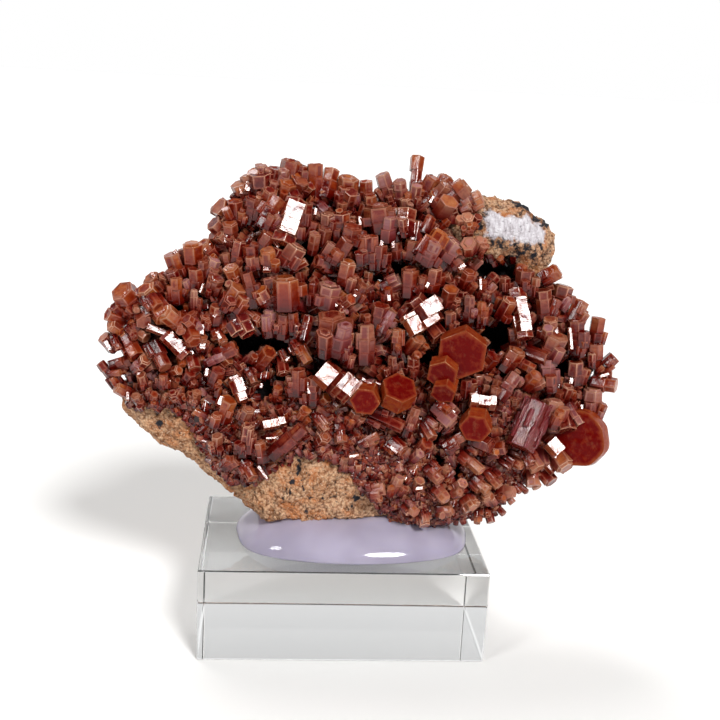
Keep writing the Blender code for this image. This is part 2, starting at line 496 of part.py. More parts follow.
def build_block(parts):
    shape = bmesh.new()
    bmesh.ops.create_cube(shape, size=1.0)
    for vert in shape.verts:
        vert.co.x *= BLOCK_WIDTH
        vert.co.y *= BLOCK_DEPTH
        vert.co.z = (vert.co.z + 0.5) * BLOCK_HEIGHT
    block = add_object("display_block", shape, parts)
    edge = block.modifiers.new("Edge", 'BEVEL')
    edge.width = BLOCK_EDGE
    edge.segments = 1
    block.data.materials.append(make_material("clear acrylic", "acrylic"))
    return block


def build_glue(parts, rock_room):
    """A low oval mound that the rock is sunk into."""
    shape = bmesh.new()
    bmesh.ops.create_cone(shape, cap_ends=True, segments=26, radius1=1.0, radius2=0.72, depth=1.0)
    rim = [edge for edge in shape.edges if min(vert.co.z for vert in edge.verts) > 0.4]
    bmesh.ops.bevel(shape, geom=rim, offset=0.2, offset_type='OFFSET', segments=2, profile=0.5,
                    affect='EDGES', material=-1)
    for vert in shape.verts:
        angle = math.atan2(vert.co.y, vert.co.x)
        ripple = 1.0 + 0.03 * math.sin(3.0 * angle + 0.6) + 0.02 * math.sin(5.0 * angle)
        vert.co.x = GLUE_CENTRE[0] + vert.co.x * ripple * 0.5 * GLUE_WIDTH
        vert.co.y = GLUE_CENTRE[1] + vert.co.y * ripple * 0.5 * GLUE_DEPTH
        vert.co.z = BLOCK_HEIGHT + GAP + (vert.co.z + 0.5) * GLUE_HEIGHT
    glue = add_object("glue_bed", shape, parts)
    add_boolean(glue, 'DIFFERENCE', rock_room)
    apply_modifiers(glue)
    keep_largest_body(glue)
    glue.data.materials.append(make_material("milky glue", "glue"))
    return glue


def build_rock(parts):
    rock = add_object("matrix_rock", rock_shape(0.0), parts)
    rock.data.materials.append(make_material("matrix rock", "rock"))
    return rock


def build_single_crystal(name, rows, parts, cutters, rock_room):
    """One large crystal, or two grown together, and the room that it needs in its neighbours."""
    spins = random.Random(name)
    for number, row in enumerate(rows):
        spin = spins.uniform(0.0, math.pi / 3.0)
        if number == 0:
            crystal = add_object(name, prism_shape(row, spin), parts)
        else:
            twin = add_cutter(f"{name}_twin", prism_shape(row, spin), cutters)
            add_boolean(crystal, 'UNION', twin)
        add_cutter(f"{name}_sleeve_{number}", prism_shape(row, spin, GAP / MM), cutters)
    add_boolean(crystal, 'DIFFERENCE', rock_room)
    apply_modifiers(crystal)
    keep_largest_body(crystal)
    crystal.data.materials.append(make_material(f"vanadinite of {name}", "crystal"))
    return crystal


def near_sleeves(middle):
    """The sleeves of the large crystals that stand in or beside a group."""
    close = []
    for key, rows in SINGLE_CRYSTALS.items():
        for number, row in enumerate(rows):
            if math.hypot(row[0] - middle[0], row[1] - middle[1]) < 14.0:
                close.append(bpy.data.objects[f"{key}_sleeve_{number}"])
    return close


def build_group(name, parts, cutters, crust_shape, rock_room):
    """A group of crystals and the crust that they stand in, joined in one body.

    The EXACT solver leaves some of these many crossing prisms open, so they use MANIFOLD.
    """
    cell = add_cutter(f"{name}_cell", group_cell_shape(name), cutters)
    for attempt in range(TRIES):
        spins = random.Random(f"{name} {attempt}")
        group = add_object(name, crust_shape.copy(), parts)
        add_boolean(group, 'INTERSECT', cell, 'MANIFOLD')
        for number, row in enumerate(CRYSTALS):
            if nearest_group(row[0], row[1]) == name:
                spin = spins.uniform(0.0, math.pi / 3.0)
                prism = add_cutter(f"{name}_prism_{attempt}_{number}", prism_shape(row, spin), cutters)
                add_boolean(group, 'UNION', prism, 'MANIFOLD')
        add_boolean(group, 'INTERSECT', cell, 'MANIFOLD')
        add_boolean(group, 'DIFFERENCE', rock_room, 'MANIFOLD')
        for sleeve in near_sleeves(GROUPS[name]):
            add_boolean(group, 'DIFFERENCE', sleeve, 'MANIFOLD')
        apply_modifiers(group)
        keep_largest_body(group)
        if is_closed(group) or attempt == TRIES - 1:
            break
        bpy.data.objects.remove(group, do_unlink=True)
    group.data.materials.append(make_material(f"vanadinite of {name}", "crystal"))
    return group


def main():
    clear_scene()
    noise.seed_set(ROCK_SEED)
    parts = bpy.data.collections.new("vanadinite_on_matrix")
    cutters = bpy.data.collections.new("cutters")
    bpy.context.scene.collection.children.link(parts)
    bpy.context.scene.collection.children.link(cutters)
    build_block(parts)
    build_rock(parts)
    rock_room = add_cutter("rock_room", rock_shape(GAP / MM), cutters)
    build_glue(parts, rock_room)
    for name, rows in SINGLE_CRYSTALS.items():
        build_single_crystal(name, rows, parts, cutters, rock_room)
    crust_shape = rock_shape(CRUST_THICKNESS)
    for name in GROUPS:
        build_group(name, parts, cutters, crust_shape, rock_room)
    crust_shape.free()
    for cutter in list(bpy.data.objects):
        if cutter.hide_render:
            bpy.data.objects.remove(cutter, do_unlink=True)
    bpy.data.collections.remove(cutters)


main()
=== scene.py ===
import json
import math
import random

import bmesh
import bpy
import numpy as np
from mathutils import Matrix, Vector, noise

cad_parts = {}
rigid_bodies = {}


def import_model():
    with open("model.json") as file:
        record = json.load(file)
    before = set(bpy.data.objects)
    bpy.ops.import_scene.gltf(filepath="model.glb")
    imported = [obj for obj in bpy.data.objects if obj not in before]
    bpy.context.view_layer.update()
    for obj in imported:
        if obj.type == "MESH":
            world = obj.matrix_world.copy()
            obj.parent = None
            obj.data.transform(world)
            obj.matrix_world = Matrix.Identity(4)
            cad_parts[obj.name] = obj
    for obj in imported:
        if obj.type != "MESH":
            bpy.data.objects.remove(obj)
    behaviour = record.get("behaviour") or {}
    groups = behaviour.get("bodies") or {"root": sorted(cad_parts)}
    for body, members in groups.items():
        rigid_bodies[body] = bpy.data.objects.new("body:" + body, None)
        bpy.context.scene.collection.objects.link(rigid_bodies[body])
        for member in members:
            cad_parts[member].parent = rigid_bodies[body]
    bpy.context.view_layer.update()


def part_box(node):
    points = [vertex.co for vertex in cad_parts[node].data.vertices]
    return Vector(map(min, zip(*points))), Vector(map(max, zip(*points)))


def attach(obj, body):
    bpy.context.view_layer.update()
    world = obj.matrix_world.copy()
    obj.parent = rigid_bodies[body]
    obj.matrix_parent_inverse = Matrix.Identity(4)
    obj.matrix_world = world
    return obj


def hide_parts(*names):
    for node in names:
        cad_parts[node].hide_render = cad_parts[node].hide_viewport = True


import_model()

mm = 0.001
noise.seed_set(5)

# How the rock stands on its glue, and where a point of its face is
lean = math.radians(12.0)
faceFoot = Vector((0.0, -6.0, 15.0)) * mm
faceRight = Vector((1.0, 0.0, 0.0))
faceUp = Vector((0.0, math.sin(lean), math.cos(lean)))
faceOut = Vector((0.0, -math.cos(lean), math.sin(lean)))

studio = {
    "camera": (-10.8, -142.7, 76.3),    # mm
    "lens": 55.0,
    "pitch": 15.0, "yaw": 4.93, "roll": -3.0,
    "key": (24.0, 42.0, 16.0, 3.0),     # turn, rise and width in degrees, strength
    "side": (-52.0, 40.0, 13.0, 0.62),
    "back": (-150.0, 58.0, 24.0, 1.3),
    "room": 0.05, "ceiling": 0.18, "backdrop": 1.0,
    "floorColour": "#f4f3f1", "floorSize": 8.0,    # metres
}

rockForm = {
    "outline": [
        (-30.4, 20.0), (-30.4, 16.2), (-28.3, 12.9), (-25.6, 11.3), (-23.0, 10.6), (-20.0, 8.7),
        (-17.0, 5.9), (-13.6, 3.2), (-11.0, 1.0), (-5.9, 0.8), (0.0, 1.2), (4.6, 1.3), (8.0, 1.4),
        (11.0, 1.0), (15.0, 1.5), (18.0, 2.0), (21.0, 2.2), (23.0, 5.4), (26.5, 8.0), (30.5, 10.5),
        (33.0, 13.0), (33.8, 17.0), (34.4, 21.0), (33.4, 26.0), (31.0, 30.0), (28.0, 34.5),
        (27.8, 38.0), (28.7, 40.4), (28.1, 42.4), (25.4, 44.6), (22.8, 46.2), (20.6, 46.2),
        (17.7, 46.8), (14.0, 46.3), (9.0, 46.4), (4.0, 45.6), (-2.0, 45.6), (-8.0, 47.2),
        (-12.0, 46.8), (-15.2, 43.6), (-17.8, 39.6), (-20.8, 36.0), (-25.0, 32.6), (-28.6, 30.2),
        (-30.6, 26.0),
    ],
    "middle": (1.5, 24.0),
    "thickness": 14.0,
    "columns": 190, "rows": 150, "layers": 30,
    "crown": 1.0, "rimDrop": 2.6,            # the face stands out by the first and falls back at its rim
    "backRound": 4.0, "backWaves": 2.0,
    "lumps": 0.34, "grains": 0.16, "pits": 0.7, "seams": 0.28, "gapDepth": 1.6,
    "frontEnds": -1.0, "spotsEnd": -3.0, "crustEnds": -4.5,    # how far back each of them reaches
    "hollows": [    # right, up, radius, depth
        (-14.0, 25.3, 3.2, 2.6), (-9.3, 24.8, 3.0, 2.4), (-6.0, 38.5, 2.2, 1.8),
        (19.2, 35.8, 3.6, 3.4), (19.3, 27.0, 2.6, 2.6), (-11.0, 18.8, 2.6, 1.6),
        (5.6, 36.3, 2.6, 1.4), (10.4, 25.0, 2.4, 1.8), (28.8, 23.3, 2.2, 1.8), (-21.8, 23.0, 2.4, 1.4),
    ],
    "swells": [
        (19.5, 42.0, 6.5, 2.4), (14.0, 40.5, 3.4, 1.2), (-5.5, 6.0, 7.0, 1.2), (12.0, 9.0, 8.0, 1.0),
        (0.0, 31.0, 14.0, 1.2), (-22.0, 28.0, 8.0, 0.8), (24.0, 15.0, 7.0, 1.0),
    ],
    # where the rock shows between the crystals
    "lowerBare": [
        (-34.0, 18.4), (-31.0, 17.2), (-28.0, 16.8), (-24.0, 16.6), (-21.5, 15.4), (-19.6, 12.6),
        (-17.6, 9.0), (-16.0, 7.2), (-13.0, 7.0), (-10.6, 8.6), (-8.0, 10.6), (-5.5, 10.9),
        (-2.5, 10.6), (-0.3, 9.6), (1.6, 7.2), (3.8, 5.0), (5.8, 3.4), (7.8, 1.4), (10.0, -0.5),
        (12.0, -8.0), (-42.0, -8.0), (-42.0, 18.4),
    ],
    "rightBare": [(18.6, 0.6), (19.4, 3.0), (21.5, 4.4), (24.0, 5.0), (24.0, -4.0), (17.8, -4.0)],
    "outcrop": [
        (12.4, 38.2), (12.8, 42.0), (14.2, 44.6), (15.6, 50.0), (24.0, 50.0), (31.0, 44.0),
        (29.6, 38.5), (27.0, 35.2), (27.2, 31.8), (25.8, 31.0), (24.8, 34.2), (22.6, 36.6),
        (19.0, 37.4), (15.6, 36.9),
    ],
    "whitePatch": [
        (17.3, 44.2), (20.0, 43.4), (24.0, 43.3), (25.5, 42.0), (26.0, 40.6), (24.5, 40.3),
        (20.0, 40.3), (17.3, 41.0),
    ],
    "blackSpots": [    # right, up, radius
        (-25.0, 14.3, 0.75), (-6.3, 9.9, 0.55), (-6.4, 9.0, 0.5), (-6.6, 8.1, 0.4), (-7.0, 7.3, 0.4),
        (-6.0, 6.5, 0.35), (-7.4, 6.3, 0.3), (-8.2, 5.3, 0.45), (-8.2, 4.5, 0.4), (-6.9, 5.2, 0.35),
        (-4.4, 5.3, 0.4), (-5.3, 3.3, 0.4), (-3.0, 5.2, 0.3), (1.2, 5.2, 0.6), (1.4, 4.2, 0.5),
        (16.5, 42.3, 0.6), (22.2, 45.4, 1.4), (23.4, 44.7, 1.4), (24.6, 43.9, 1.2), (25.6, 43.0, 0.8),
        (22.6, 38.6, 0.7), (24.2, 38.3, 0.8), (21.4, 37.7, 0.5), (19.8, 39.4, 0.5), (25.2, 39.4, 0.5),
        (23.2, 39.6, 0.5), (18.4, 40.0, 0.4), (21.6, 39.9, 0.4),
    ],
    "darkMottles": [
        (18.4, 40.0, 1.3), (20.0, 39.6, 1.4), (21.8, 39.4, 1.4), (23.4, 39.6, 1.3), (25.0, 40.0, 1.1),
        (17.0, 43.6, 0.8), (24.2, 38.0, 1.3), (22.0, 38.0, 1.1), (26.4, 39.0, 1.0), (16.2, 41.0, 0.8),
    ],
    "cracks": [    # right, up, half width, half height, depth
        (-6.4, 9.0, 0.5, 1.4, 0.9), (-12.4, 5.2, 0.22, 2.2, 0.5), (-9.6, 3.6, 0.2, 1.4, 0.4),
        (16.5, 42.3, 0.6, 0.6, 0.8), (22.4, 37.8, 1.2, 0.5, 0.7),
    ],
}

groups = {    # middle of the part of the face that each crystal group owns
    "left_tip": (-30.6, 22.6), "left_rim": (-28.4, 30.2), "left_face": (-22.8, 26.4),
    "left_shoulder": (-20.8, 35.0), "left_crest": (-13.2, 44.4), "middle_crest": (-4.6, 45.2),
    "crest_fan": (6.3, 46.4), "right_crest": (12.6, 45.4), "upper_left": (-12.0, 37.4),
    "upper_middle": (-2.4, 38.8), "upper_centre": (4.6, 40.4), "upper_right": (10.9, 37.8),
    "left_middle": (-16.0, 29.4), "left_barrel": (-9.0, 30.0), "centre": (-2.4, 29.9),
    "centre_columns": (3.9, 27.2), "lower_left": (-23.8, 19.6), "left_hollow": (-14.2, 20.6),
    "low_centre": (-6.2, 21.2), "red_plates": (4.9, 19.4), "right_middle": (14.6, 32.2),
    "tall_red": (22.3, 31.2), "right_shoulder": (27.8, 31.0), "right_rim": (32.8, 26.2),
    "right_face": (25.4, 24.6), "right_prisms": (19.9, 21.9), "right_edge": (33.6, 19.6),
    "lower_right": (15.9, 15.0), "lower_middle": (8.3, 14.4), "low_foot": (-2.4, 14.6),
    "lower_prisms": (-13.6, 12.0), "right_druse": (11.0, 6.8), "right_foot": (26.6, 10.2),
}

# Crystals in mm: right, up, radius, length, the way the free end points on the face in degrees,
# degrees out towards the viewer, lift, and a letter for the look
singleCrystals = {
    "red_plate": [(31.3, 14.2, 4.1, 3.2, 180, 60, 0.2, "d")],
    "rough_purple": [(23.9, 16.1, 2.1, 6.8, 82, 14, 1.0, "k")],
    "hexagonal_tablet": [(14.3, 25.5, 3.2, 2.6, 245, 68, 1.6, "g")],
    "bright_pair": [(9.7, 30.1, 2.3, 3.1, -55, 14, 1.3, "w"), (7.7, 28.7, 1.45, 2.8, -60, 14, 1.4, "w"),
                    (11.0, 28.0, 1.5, 2.2, -50, 14, 0.9, "b"), (8.6, 31.4, 1.7, 2.6, 130, 14, 0.6, "r")],
    "mirror_pair": [(-3.2, 21.9, 2.5, 2.2, -36, 14, 1.5, "w"), (-0.8, 20.1, 2.5, 2.4, -36, 14, 1.5, "w"),
                    (-2.0, 21.0, 1.7, 2.6, -36, 14, 0.9, "r"), (1.3, 18.6, 1.8, 3.0, -36, 14, 0.9, "o")],
    "diagonal_prism": [(-8.0, 12.9, 1.05, 5.8, 46, 8, 1.4, "r")],
    "crest_prism": [(8.2, 48.7, 1.0, 5.2, 92, 4, -1.2, "o")],
}
crystals = [
    (-31.3, 20.4, 0.75, 5, 128, 4, -0.3, "b"), (-30.3, 22.3, 0.9, 3.6, 20, 15, 0, "b"),
    (-31.6, 24.9, 0.9, 2.6, 130, 25, 0, "b"), (-28.7, 24.9, 1.3, 4, -55, 25, 0.4, "b"),
    (-27.2, 22.6, 0.95, 2.4, 45, 45, 0.4, "b"), (-27.1, 20.3, 0.8, 2.4, 100, 40, 0.3, "b"),
    (-29.6, 18.6, 0.7, 2.4, 150, 25, 0, "b"), (-24.3, 20.2, 0.65, 2.4, 90, 25, 0.5, "b"),
    (-23, 21.6, 0.85, 2.4, 20, 50, 0.3, "b"), (-21.3, 20.9, 0.85, 2.4, 60, 40, 0.2, "b"),
    (-25.6, 18, 0.7, 2.2, 70, 50, 0, "b"), (-22.6, 18.2, 0.7, 2.2, 120, 45, 0, "b"),
    (-27.6, 17.6, 0.7, 2.2, 110, 45, 0, "b"), (-20, 18.2, 0.7, 2.4, 80, 40, 0, "b"),
    (-29.2, 30.7, 1.7, 3.6, 125, 38, 0, "b"), (-26.1, 31.2, 1.25, 3.2, 130, 38, 0.2, "b"),
    (-25.2, 30, 1.45, 4, -50, 40, 0.8, "b"), (-30.6, 28.4, 1.25, 3, 160, 30, 0, "b"),
    (-28.7, 29, 0.95, 2.4, 60, 60, 0.5, "b"), (-27.2, 28.6, 1.1, 2.8, -60, 60, 0.5, "b"),
    (-30.4, 26.5, 1.1, 3, 140, 35, 0, "b"), (-27.5, 26.6, 0.9, 2.6, -30, 40, 0.1, "b"),
    (-22.6, 28.2, 1.45, 4.4, 140, 30, 0.6, "o"), (-20.9, 26.8, 1.25, 3.2, -60, 40, 0.6, "b"),
    (-25, 26.8, 0.75, 3.2, -12, 10, 1.3, "w"), (-22.8, 25.1, 1.3, 4, -42, 8, 1.4, "w"),
    (-24.9, 23.9, 1.1, 4.4, -58, 25, 0.8, "b"), (-20.7, 23.4, 1.1, 3.6, -70, 30, 0.2, "b"),
    (-19.3, 27.9, 0.75, 2.2, 75, 30, 0.5, "b"), (-19.4, 25.4, 0.85, 2.4, 75, 35, 0.6, "b"),
    (-22.9, 31.9, 0.9, 4, 92, 15, 0.8, "o"), (-20.6, 30.7, 0.65, 3.2, 90, 20, 0.6, "l"),
    (-20.4, 33.6, 1.05, 3.2, 95, 20, 0.4, "b"), (-21, 36.1, 1.45, 4.4, 95, 20, 0.4, "o"),
    (-23.1, 35, 1.3, 4.2, 110, 20, 0.2, "b"), (-18.6, 35.1, 0.95, 2.8, 70, 20, 0.5, "l"),
    (-19, 37.5, 1.1, 2.8, 125, 30, 0, "b"), (-25.6, 33, 1.1, 2.6, 130, 35, 0, "b"),
    (-24.8, 33.1, 0.8, 2.6, 80, 40, 0.3, "b"), (-18, 32.8, 1, 2.8, 70, 35, 0.3, "b"),
    (-17.5, 40.4, 1.2, 3, 140, 30, 0, "b"), (-16.9, 42.9, 1.2, 2.6, 150, 35, 0, "b"),
    (-14.7, 45.3, 1.1, 2.8, 115, 25, 0, "b"), (-12.4, 45.8, 1.3, 4.2, 96, 22, 0.3, "r"),
    (-8.8, 47.9, 1.35, 3.6, 80, 15, 0, "b"), (-15.6, 42.5, 1.05, 3.4, 95, 25, 0.5, "b"),
    (-13.7, 42.6, 0.9, 4, 80, 25, 0.6, "b"), (-11.4, 42.2, 1.2, 5.4, 68, 15, 0.9, "b"),
    (-8.6, 41.4, 2.0, 6.2, 70, 10, 0.9, "w"), (-16.2, 39.9, 1.1, 3, 95, 35, 0.2, "b"),
    (-5.3, 46.8, 1.25, 5.2, 92, 10, 0.2, "o"), (-3.5, 46.5, 1.1, 4.6, 88, 12, 0, "b"),
    (-1.3, 45.9, 1.5, 3.8, 85, 25, 0, "b"), (-7.6, 46, 1.1, 2.8, 60, 50, 0.2, "b"),
    (-7.1, 41.8, 1.2, 4.6, 85, 12, 0.5, "b"), (-1.9, 43.4, 0.9, 2.6, 85, 40, 0.2, "b"),
    (4.2, 46.4, 1, 4.4, 112, 20, 0.3, "p"), (5.9, 45.6, 1.05, 4.2, 98, 30, 0.5, "p"),
    (7.7, 45.2, 1.05, 4, 85, 30, 0.5, "p"), (1.4, 46, 1.1, 3, 95, 20, 0, "b"),
    (9.6, 46.6, 1.1, 3.6, 65, 25, 0, "b"), (11.4, 47, 1.1, 3.2, 75, 20, 0, "b"),
    (13.2, 46, 1.6, 3.8, 55, 30, 0, "p"), (15.3, 45.2, 1, 2.8, 40, 35, 0, "t"),
    (11.6, 44, 1.1, 3, 60, 45, 0.2, "t"), (2, 44.3, 0.85, 2.4, 95, 25, 0.5, "b"),
    (-11.8, 38.4, 1.05, 3.6, 60, 25, 0.7, "b"), (-13.3, 36.4, 0.95, 3.8, 98, 15, 0.8, "b"),
    (-11.1, 36.5, 1.1, 3, 100, 35, 0.6, "b"), (-15.3, 37.1, 1, 3.6, 80, 20, 0.4, "b"),
    (-8.4, 36.9, 1.5, 3.6, 60, 16, 0.9, "p"), (-15.5, 34.2, 1, 3, 110, 35, 0.2, "b"),
    (-3.6, 41.4, 1.05, 2.8, 90, 20, 0.6, "b"), (-1.8, 41.6, 1.05, 2.8, 95, 20, 0.8, "b"),
    (-4.1, 39.6, 1.2, 2.8, 80, 30, 0.8, "b"), (-0.8, 39.8, 1.3, 3.2, 80, 30, 0.9, "b"),
    (-2, 37.8, 1.3, 4, 60, 20, 0.8, "b"), (-3.8, 36.2, 0.95, 3, 170, 25, 0.4, "b"),
    (-1.2, 34.9, 1.15, 3.6, 80, 25, 0.6, "b"), (3.1, 42, 1.8, 4, 100, 14, 1, "b"),
    (6.6, 41.6, 1.5, 4.2, 95, 10, 0.9, "b"), (1.3, 38, 1.2, 4.2, 95, 20, 0.6, "b"),
    (3.2, 37.2, 1.05, 3.8, 88, 20, 0.4, "b"), (5.6, 38.2, 0.9, 2.8, 100, 20, 0.2, "b"),
    (9.8, 38.6, 1.8, 5, 72, 22, 0.9, "o"), (12.5, 38.2, 1.2, 3.2, 60, 20, 0.2, "l"),
    (9.3, 41.6, 0.9, 2.8, 80, 20, 0.3, "b"), (7.3, 38.4, 0.95, 3, 80, 25, 0.3, "b"),
    (7.2, 33.9, 1.2, 4.2, 92, 18, 0.8, "b"), (10.2, 34.6, 1.2, 3.8, 85, 30, 0.3, "b"),
    (14.8, 39.1, 1.15, 2.2, 90, 72, 0, "t"), (-15.6, 31.4, 1.4, 3.8, 60, 28, 0.6, "b"),
    (-14.5, 28.4, 1.6, 4, -58, 18, 1.0, "b"), (-13.3, 32.2, 0.95, 5.4, 106, 14, 0.9, "b"),
    (-17.8, 29, 0.95, 3, 80, 25, 0.5, "b"), (-17.2, 26.6, 0.75, 2.6, -60, 35, 0.4, "b"),
    (-16.6, 24.3, 1.1, 3.4, 40, 32, 0.3, "b"), (-8.8, 31.9, 2.05, 4.6, 95, 14, 1.1, "o"),
    (-10.7, 28, 0.95, 4, 95, 20, 0.8, "l"), (-9.1, 27.8, 1, 4, 88, 20, 0.8, "b"),
    (-7.7, 28.2, 0.85, 3.6, 95, 20, 0.7, "b"), (-11.4, 31.6, 1, 3, 120, 30, 0.5, "b"),
    (-6.1, 27.5, 0.65, 4, 92, 12, 0.7, "b"), (-3, 27.5, 1.9, 4.8, 88, 28, 0.7, "b"),
    (-3.6, 31.9, 1.5, 3.6, 80, 20, 0.7, "p"), (-1.2, 31.2, 0.8, 2.6, 40, 45, 0.7, "b"),
    (-0.9, 25.2, 0.9, 4.8, 88, 14, 0.7, "b"), (1.8, 25.6, 1.1, 6, 93, 10, 1, "p"),
    (0.6, 32.6, 0.85, 2.6, 60, 30, 0.6, "b"), (4.4, 32.2, 0.75, 2.8, 95, 30, 0.4, "b"),
    (3.3, 29.6, 1.2, 3.6, 80, 25, 0.3, "b"), (4.2, 28.6, 0.75, 3.6, 75, 12, 1.1, "l"),
    (5.8, 26, 0.85, 4.2, 92, 15, 0.5, "o"), (5.5, 23, 0.8, 3.2, 95, 20, 0.3, "b"),
    (8.1, 26, 1.1, 3.2, 60, 45, 0.5, "b"), (8.2, 23.2, 0.9, 3, 95, 25, 0.2, "b"),
    (-11.5, 23.4, 1.1, 3.6, 55, 35, 0.3, "b"), (-14.6, 19.6, 1.15, 3.4, 100, 35, 0.4, "w"),
    (-13.1, 21.4, 0.65, 2.6, -65, 25, 0.2, "b"), (-9, 23, 0.8, 3, -80, 35, 0.2, "b"),
    (-6.7, 25.2, 0.9, 4.4, -58, 18, 0.9, "o"), (-6.9, 20.5, 1, 4.2, 92, 18, 0.8, "b"),
    (-4.9, 19.4, 0.9, 4.4, 90, 18, 0.7, "b"), (-9.6, 18.9, 0.75, 2.6, 80, 35, 0.1, "b"),
    (-17.6, 20.9, 1, 3, 70, 35, 0.1, "b"), (2, 19.2, 1.85, 3, 240, 66, 0.8, "g"),
    (6, 19.7, 2.25, 3.2, 75, 66, 0.9, "g"), (11.9, 23, 2, 2.6, 245, 58, 2.2, "g"),
    (12.3, 20.9, 1.6, 3.2, 245, 48, 1.2, "g"), (15.2, 20.4, 0.9, 3, 90, 20, 0.6, "b"),
    (12.8, 29.4, 0.85, 2.4, 95, 20, 0.4, "b"), (15.3, 30.8, 0.8, 4, 92, 14, 0.6, "b"),
    (17, 30, 0.75, 4, 92, 12, 0.8, "o"), (12.4, 32.4, 1.05, 3.2, 80, 40, 0.1, "b"),
    (14.8, 34.8, 0.9, 2.8, 75, 35, 0, "b"), (17.2, 33.6, 0.85, 2.8, 90, 30, 0, "b"),
    (20.3, 31, 1.25, 3.4, 70, 35, 0.5, "b"), (22.4, 30.6, 1.45, 6.8, 96, 8, 0.9, "w"),
    (23.3, 34.6, 1.15, 3.8, 90, 15, 0, "b"), (25.9, 31.6, 1.2, 4.8, 100, 12, 0.3, "b"),
    (26.4, 28.8, 1.15, 3, 95, 35, 0.4, "b"), (26.4, 35.8, 1.1, 3.0, 35, 20, -0.2, "o"),
    (28.4, 32.8, 1.25, 3.6, 80, 10, 0, "b"), (30.6, 30.8, 1.25, 3.8, 75, 8, 0, "b"),
    (30.5, 27.4, 1.3, 5.2, 95, 12, 0.3, "b"), (33.6, 28.4, 1.1, 4.2, 84, 6, 0, "b"),
    (33.2, 25, 1.1, 4, 92, 12, 0.2, "b"), (35.2, 24, 1, 3.2, 50, 12, 0, "b"),
    (34.6, 21.6, 1.4, 3.8, -10, 20, 0.2, "o"), (30.7, 22.6, 1.05, 3.8, 92, 15, 0.3, "b"),
    (33.3, 18.6, 1.3, 4, 88, 10, 0.2, "l"), (26.9, 26.2, 1.5, 3.8, 75, 25, 0.7, "p"),
    (24.5, 25.2, 1.3, 3.6, -20, 25, 0.5, "b"), (26.5, 22.7, 1.2, 4.2, 97, 8, 1.2, "l"),
    (24, 21.6, 1.1, 3, 60, 40, 0.3, "b"), (21.9, 27, 0.7, 3.6, 100, 15, 0.2, "b"),
    (29, 19.9, 1.1, 3, 80, 30, 0, "b"), (21.2, 24.2, 1.25, 3.8, 65, 25, 0.6, "b"),
    (20.6, 20.6, 1.2, 4.8, 68, 14, 1, "p"), (17.4, 18.9, 1.2, 3.4, 10, 38, 0.6, "w"),
    (18.2, 24, 0.95, 2.8, 60, 35, 0.1, "b"), (16.6, 16.1, 2.05, 3, 240, 62, 0.8, "g"),
    (17.4, 13.5, 1.35, 3.2, -20, 38, 0.5, "r"), (13.6, 13.3, 0.8, 3.6, 38, 14, 0.8, "b"),
    (13, 15.4, 0.65, 2.8, 50, 20, 0.5, "b"), (16.2, 11, 0.9, 4.4, -40, 12, 0.6, "t"),
    (19.6, 12.6, 0.9, 2.8, 20, 35, 0, "b"), (12.1, 17.3, 1.15, 3.8, -40, 18, 0.8, "l"),
    (4.6, 16.3, 1.1, 5.2, -22, 14, 0.8, "b"), (8, 15.6, 0.8, 4.8, 74, 10, 0.9, "b"),
    (10.2, 14.9, 0.95, 2.8, -60, 35, 0.5, "b"), (9.6, 12.6, 1.1, 3, 60, 45, 0.2, "b"),
    (6.3, 12.8, 0.9, 2.6, -40, 40, 0.2, "b"), (2.4, 13.3, 0.75, 3.4, 35, 18, 0.4, "b"),
    (-4, 15.7, 0.7, 3.4, -50, 14, 0.6, "b"), (-3.6, 13.1, 0.9, 2.6, 60, 50, 0.2, "b"),
    (-1.2, 14.4, 0.65, 3, -80, 18, 0.4, "b"), (0.6, 16.2, 0.9, 2.8, 70, 40, 0.1, "b"),
    (-6.2, 16.4, 0.7, 2.6, 60, 35, 0.1, "b"), (-9.9, 15.3, 1, 3, 25, 30, 0.4, "w"),
    (-13.4, 12.6, 1, 5, 85, 18, 0.7, "b"), (-11.3, 11.2, 0.8, 3.4, 100, 20, 0.4, "b"),
    (-13.3, 9.1, 0.8, 3.4, -55, 18, 0.4, "b"), (-15.4, 9.6, 0.85, 2.8, 35, 30, 0.1, "b"),
    (-16.2, 16.6, 1.05, 3.8, 70, 25, 0.3, "o"), (-17.2, 12.2, 0.85, 2.8, 90, 35, 0, "b"),
    (-13.6, 15.9, 0.9, 3, 70, 35, 0.2, "b"), (6.7, 7.2, 0.8, 3, 75, 25, 0.2, "t"),
    (3.8, 6.6, 0.9, 2.8, 30, 35, 0, "t"), (11.2, 9.2, 0.8, 3, -45, 22, 0.3, "t"),
    (12.4, 6.6, 0.85, 2.8, -50, 32, 0.2, "t"), (9.4, 7.4, 0.65, 2.2, 80, 40, 0, "t"),
    (8.6, 4.2, 0.75, 2.4, -35, 40, 0, "t"), (14.8, 7.4, 0.95, 2.6, 60, 50, 0, "t"),
    (13.2, 3.9, 0.75, 2.2, 20, 45, 0, "t"), (16.6, 5.2, 0.8, 2.2, -60, 45, 0, "t"),
    (10.6, 2.8, 0.7, 2.2, -80, 35, 0, "t"), (27.6, 13.0, 1.5, 2.0, -42, 32, 1.3, "w"),
    (28.8, 11.2, 1.1, 2.0, -42, 22, 1.2, "w"), (27.6, 9.9, 0.9, 1.6, -42, 22, 0.6, "w"),
    (24.7, 11.3, 1.1, 3.4, -60, 28, 0.2, "t"), (22.2, 10.9, 0.95, 2.8, -30, 40, 0, "t"),
    (25.3, 8.6, 0.9, 2.6, -85, 20, 0, "t"), (28.4, 12.0, 1.7, 4.6, -55, 20, -0.2, "p"),
    (18.2, 34.4, 0.85, 3.2, 60, 20, 0.2, "r"), (16.0, 36.6, 0.7, 2.6, 50, 20, 0, "p"),
    (20.6, 34.2, 0.8, 2.6, 95, 15, 0, "r"), (-14.0, 46.2, 0.9, 2.8, 110, 20, 0.2, "p"),
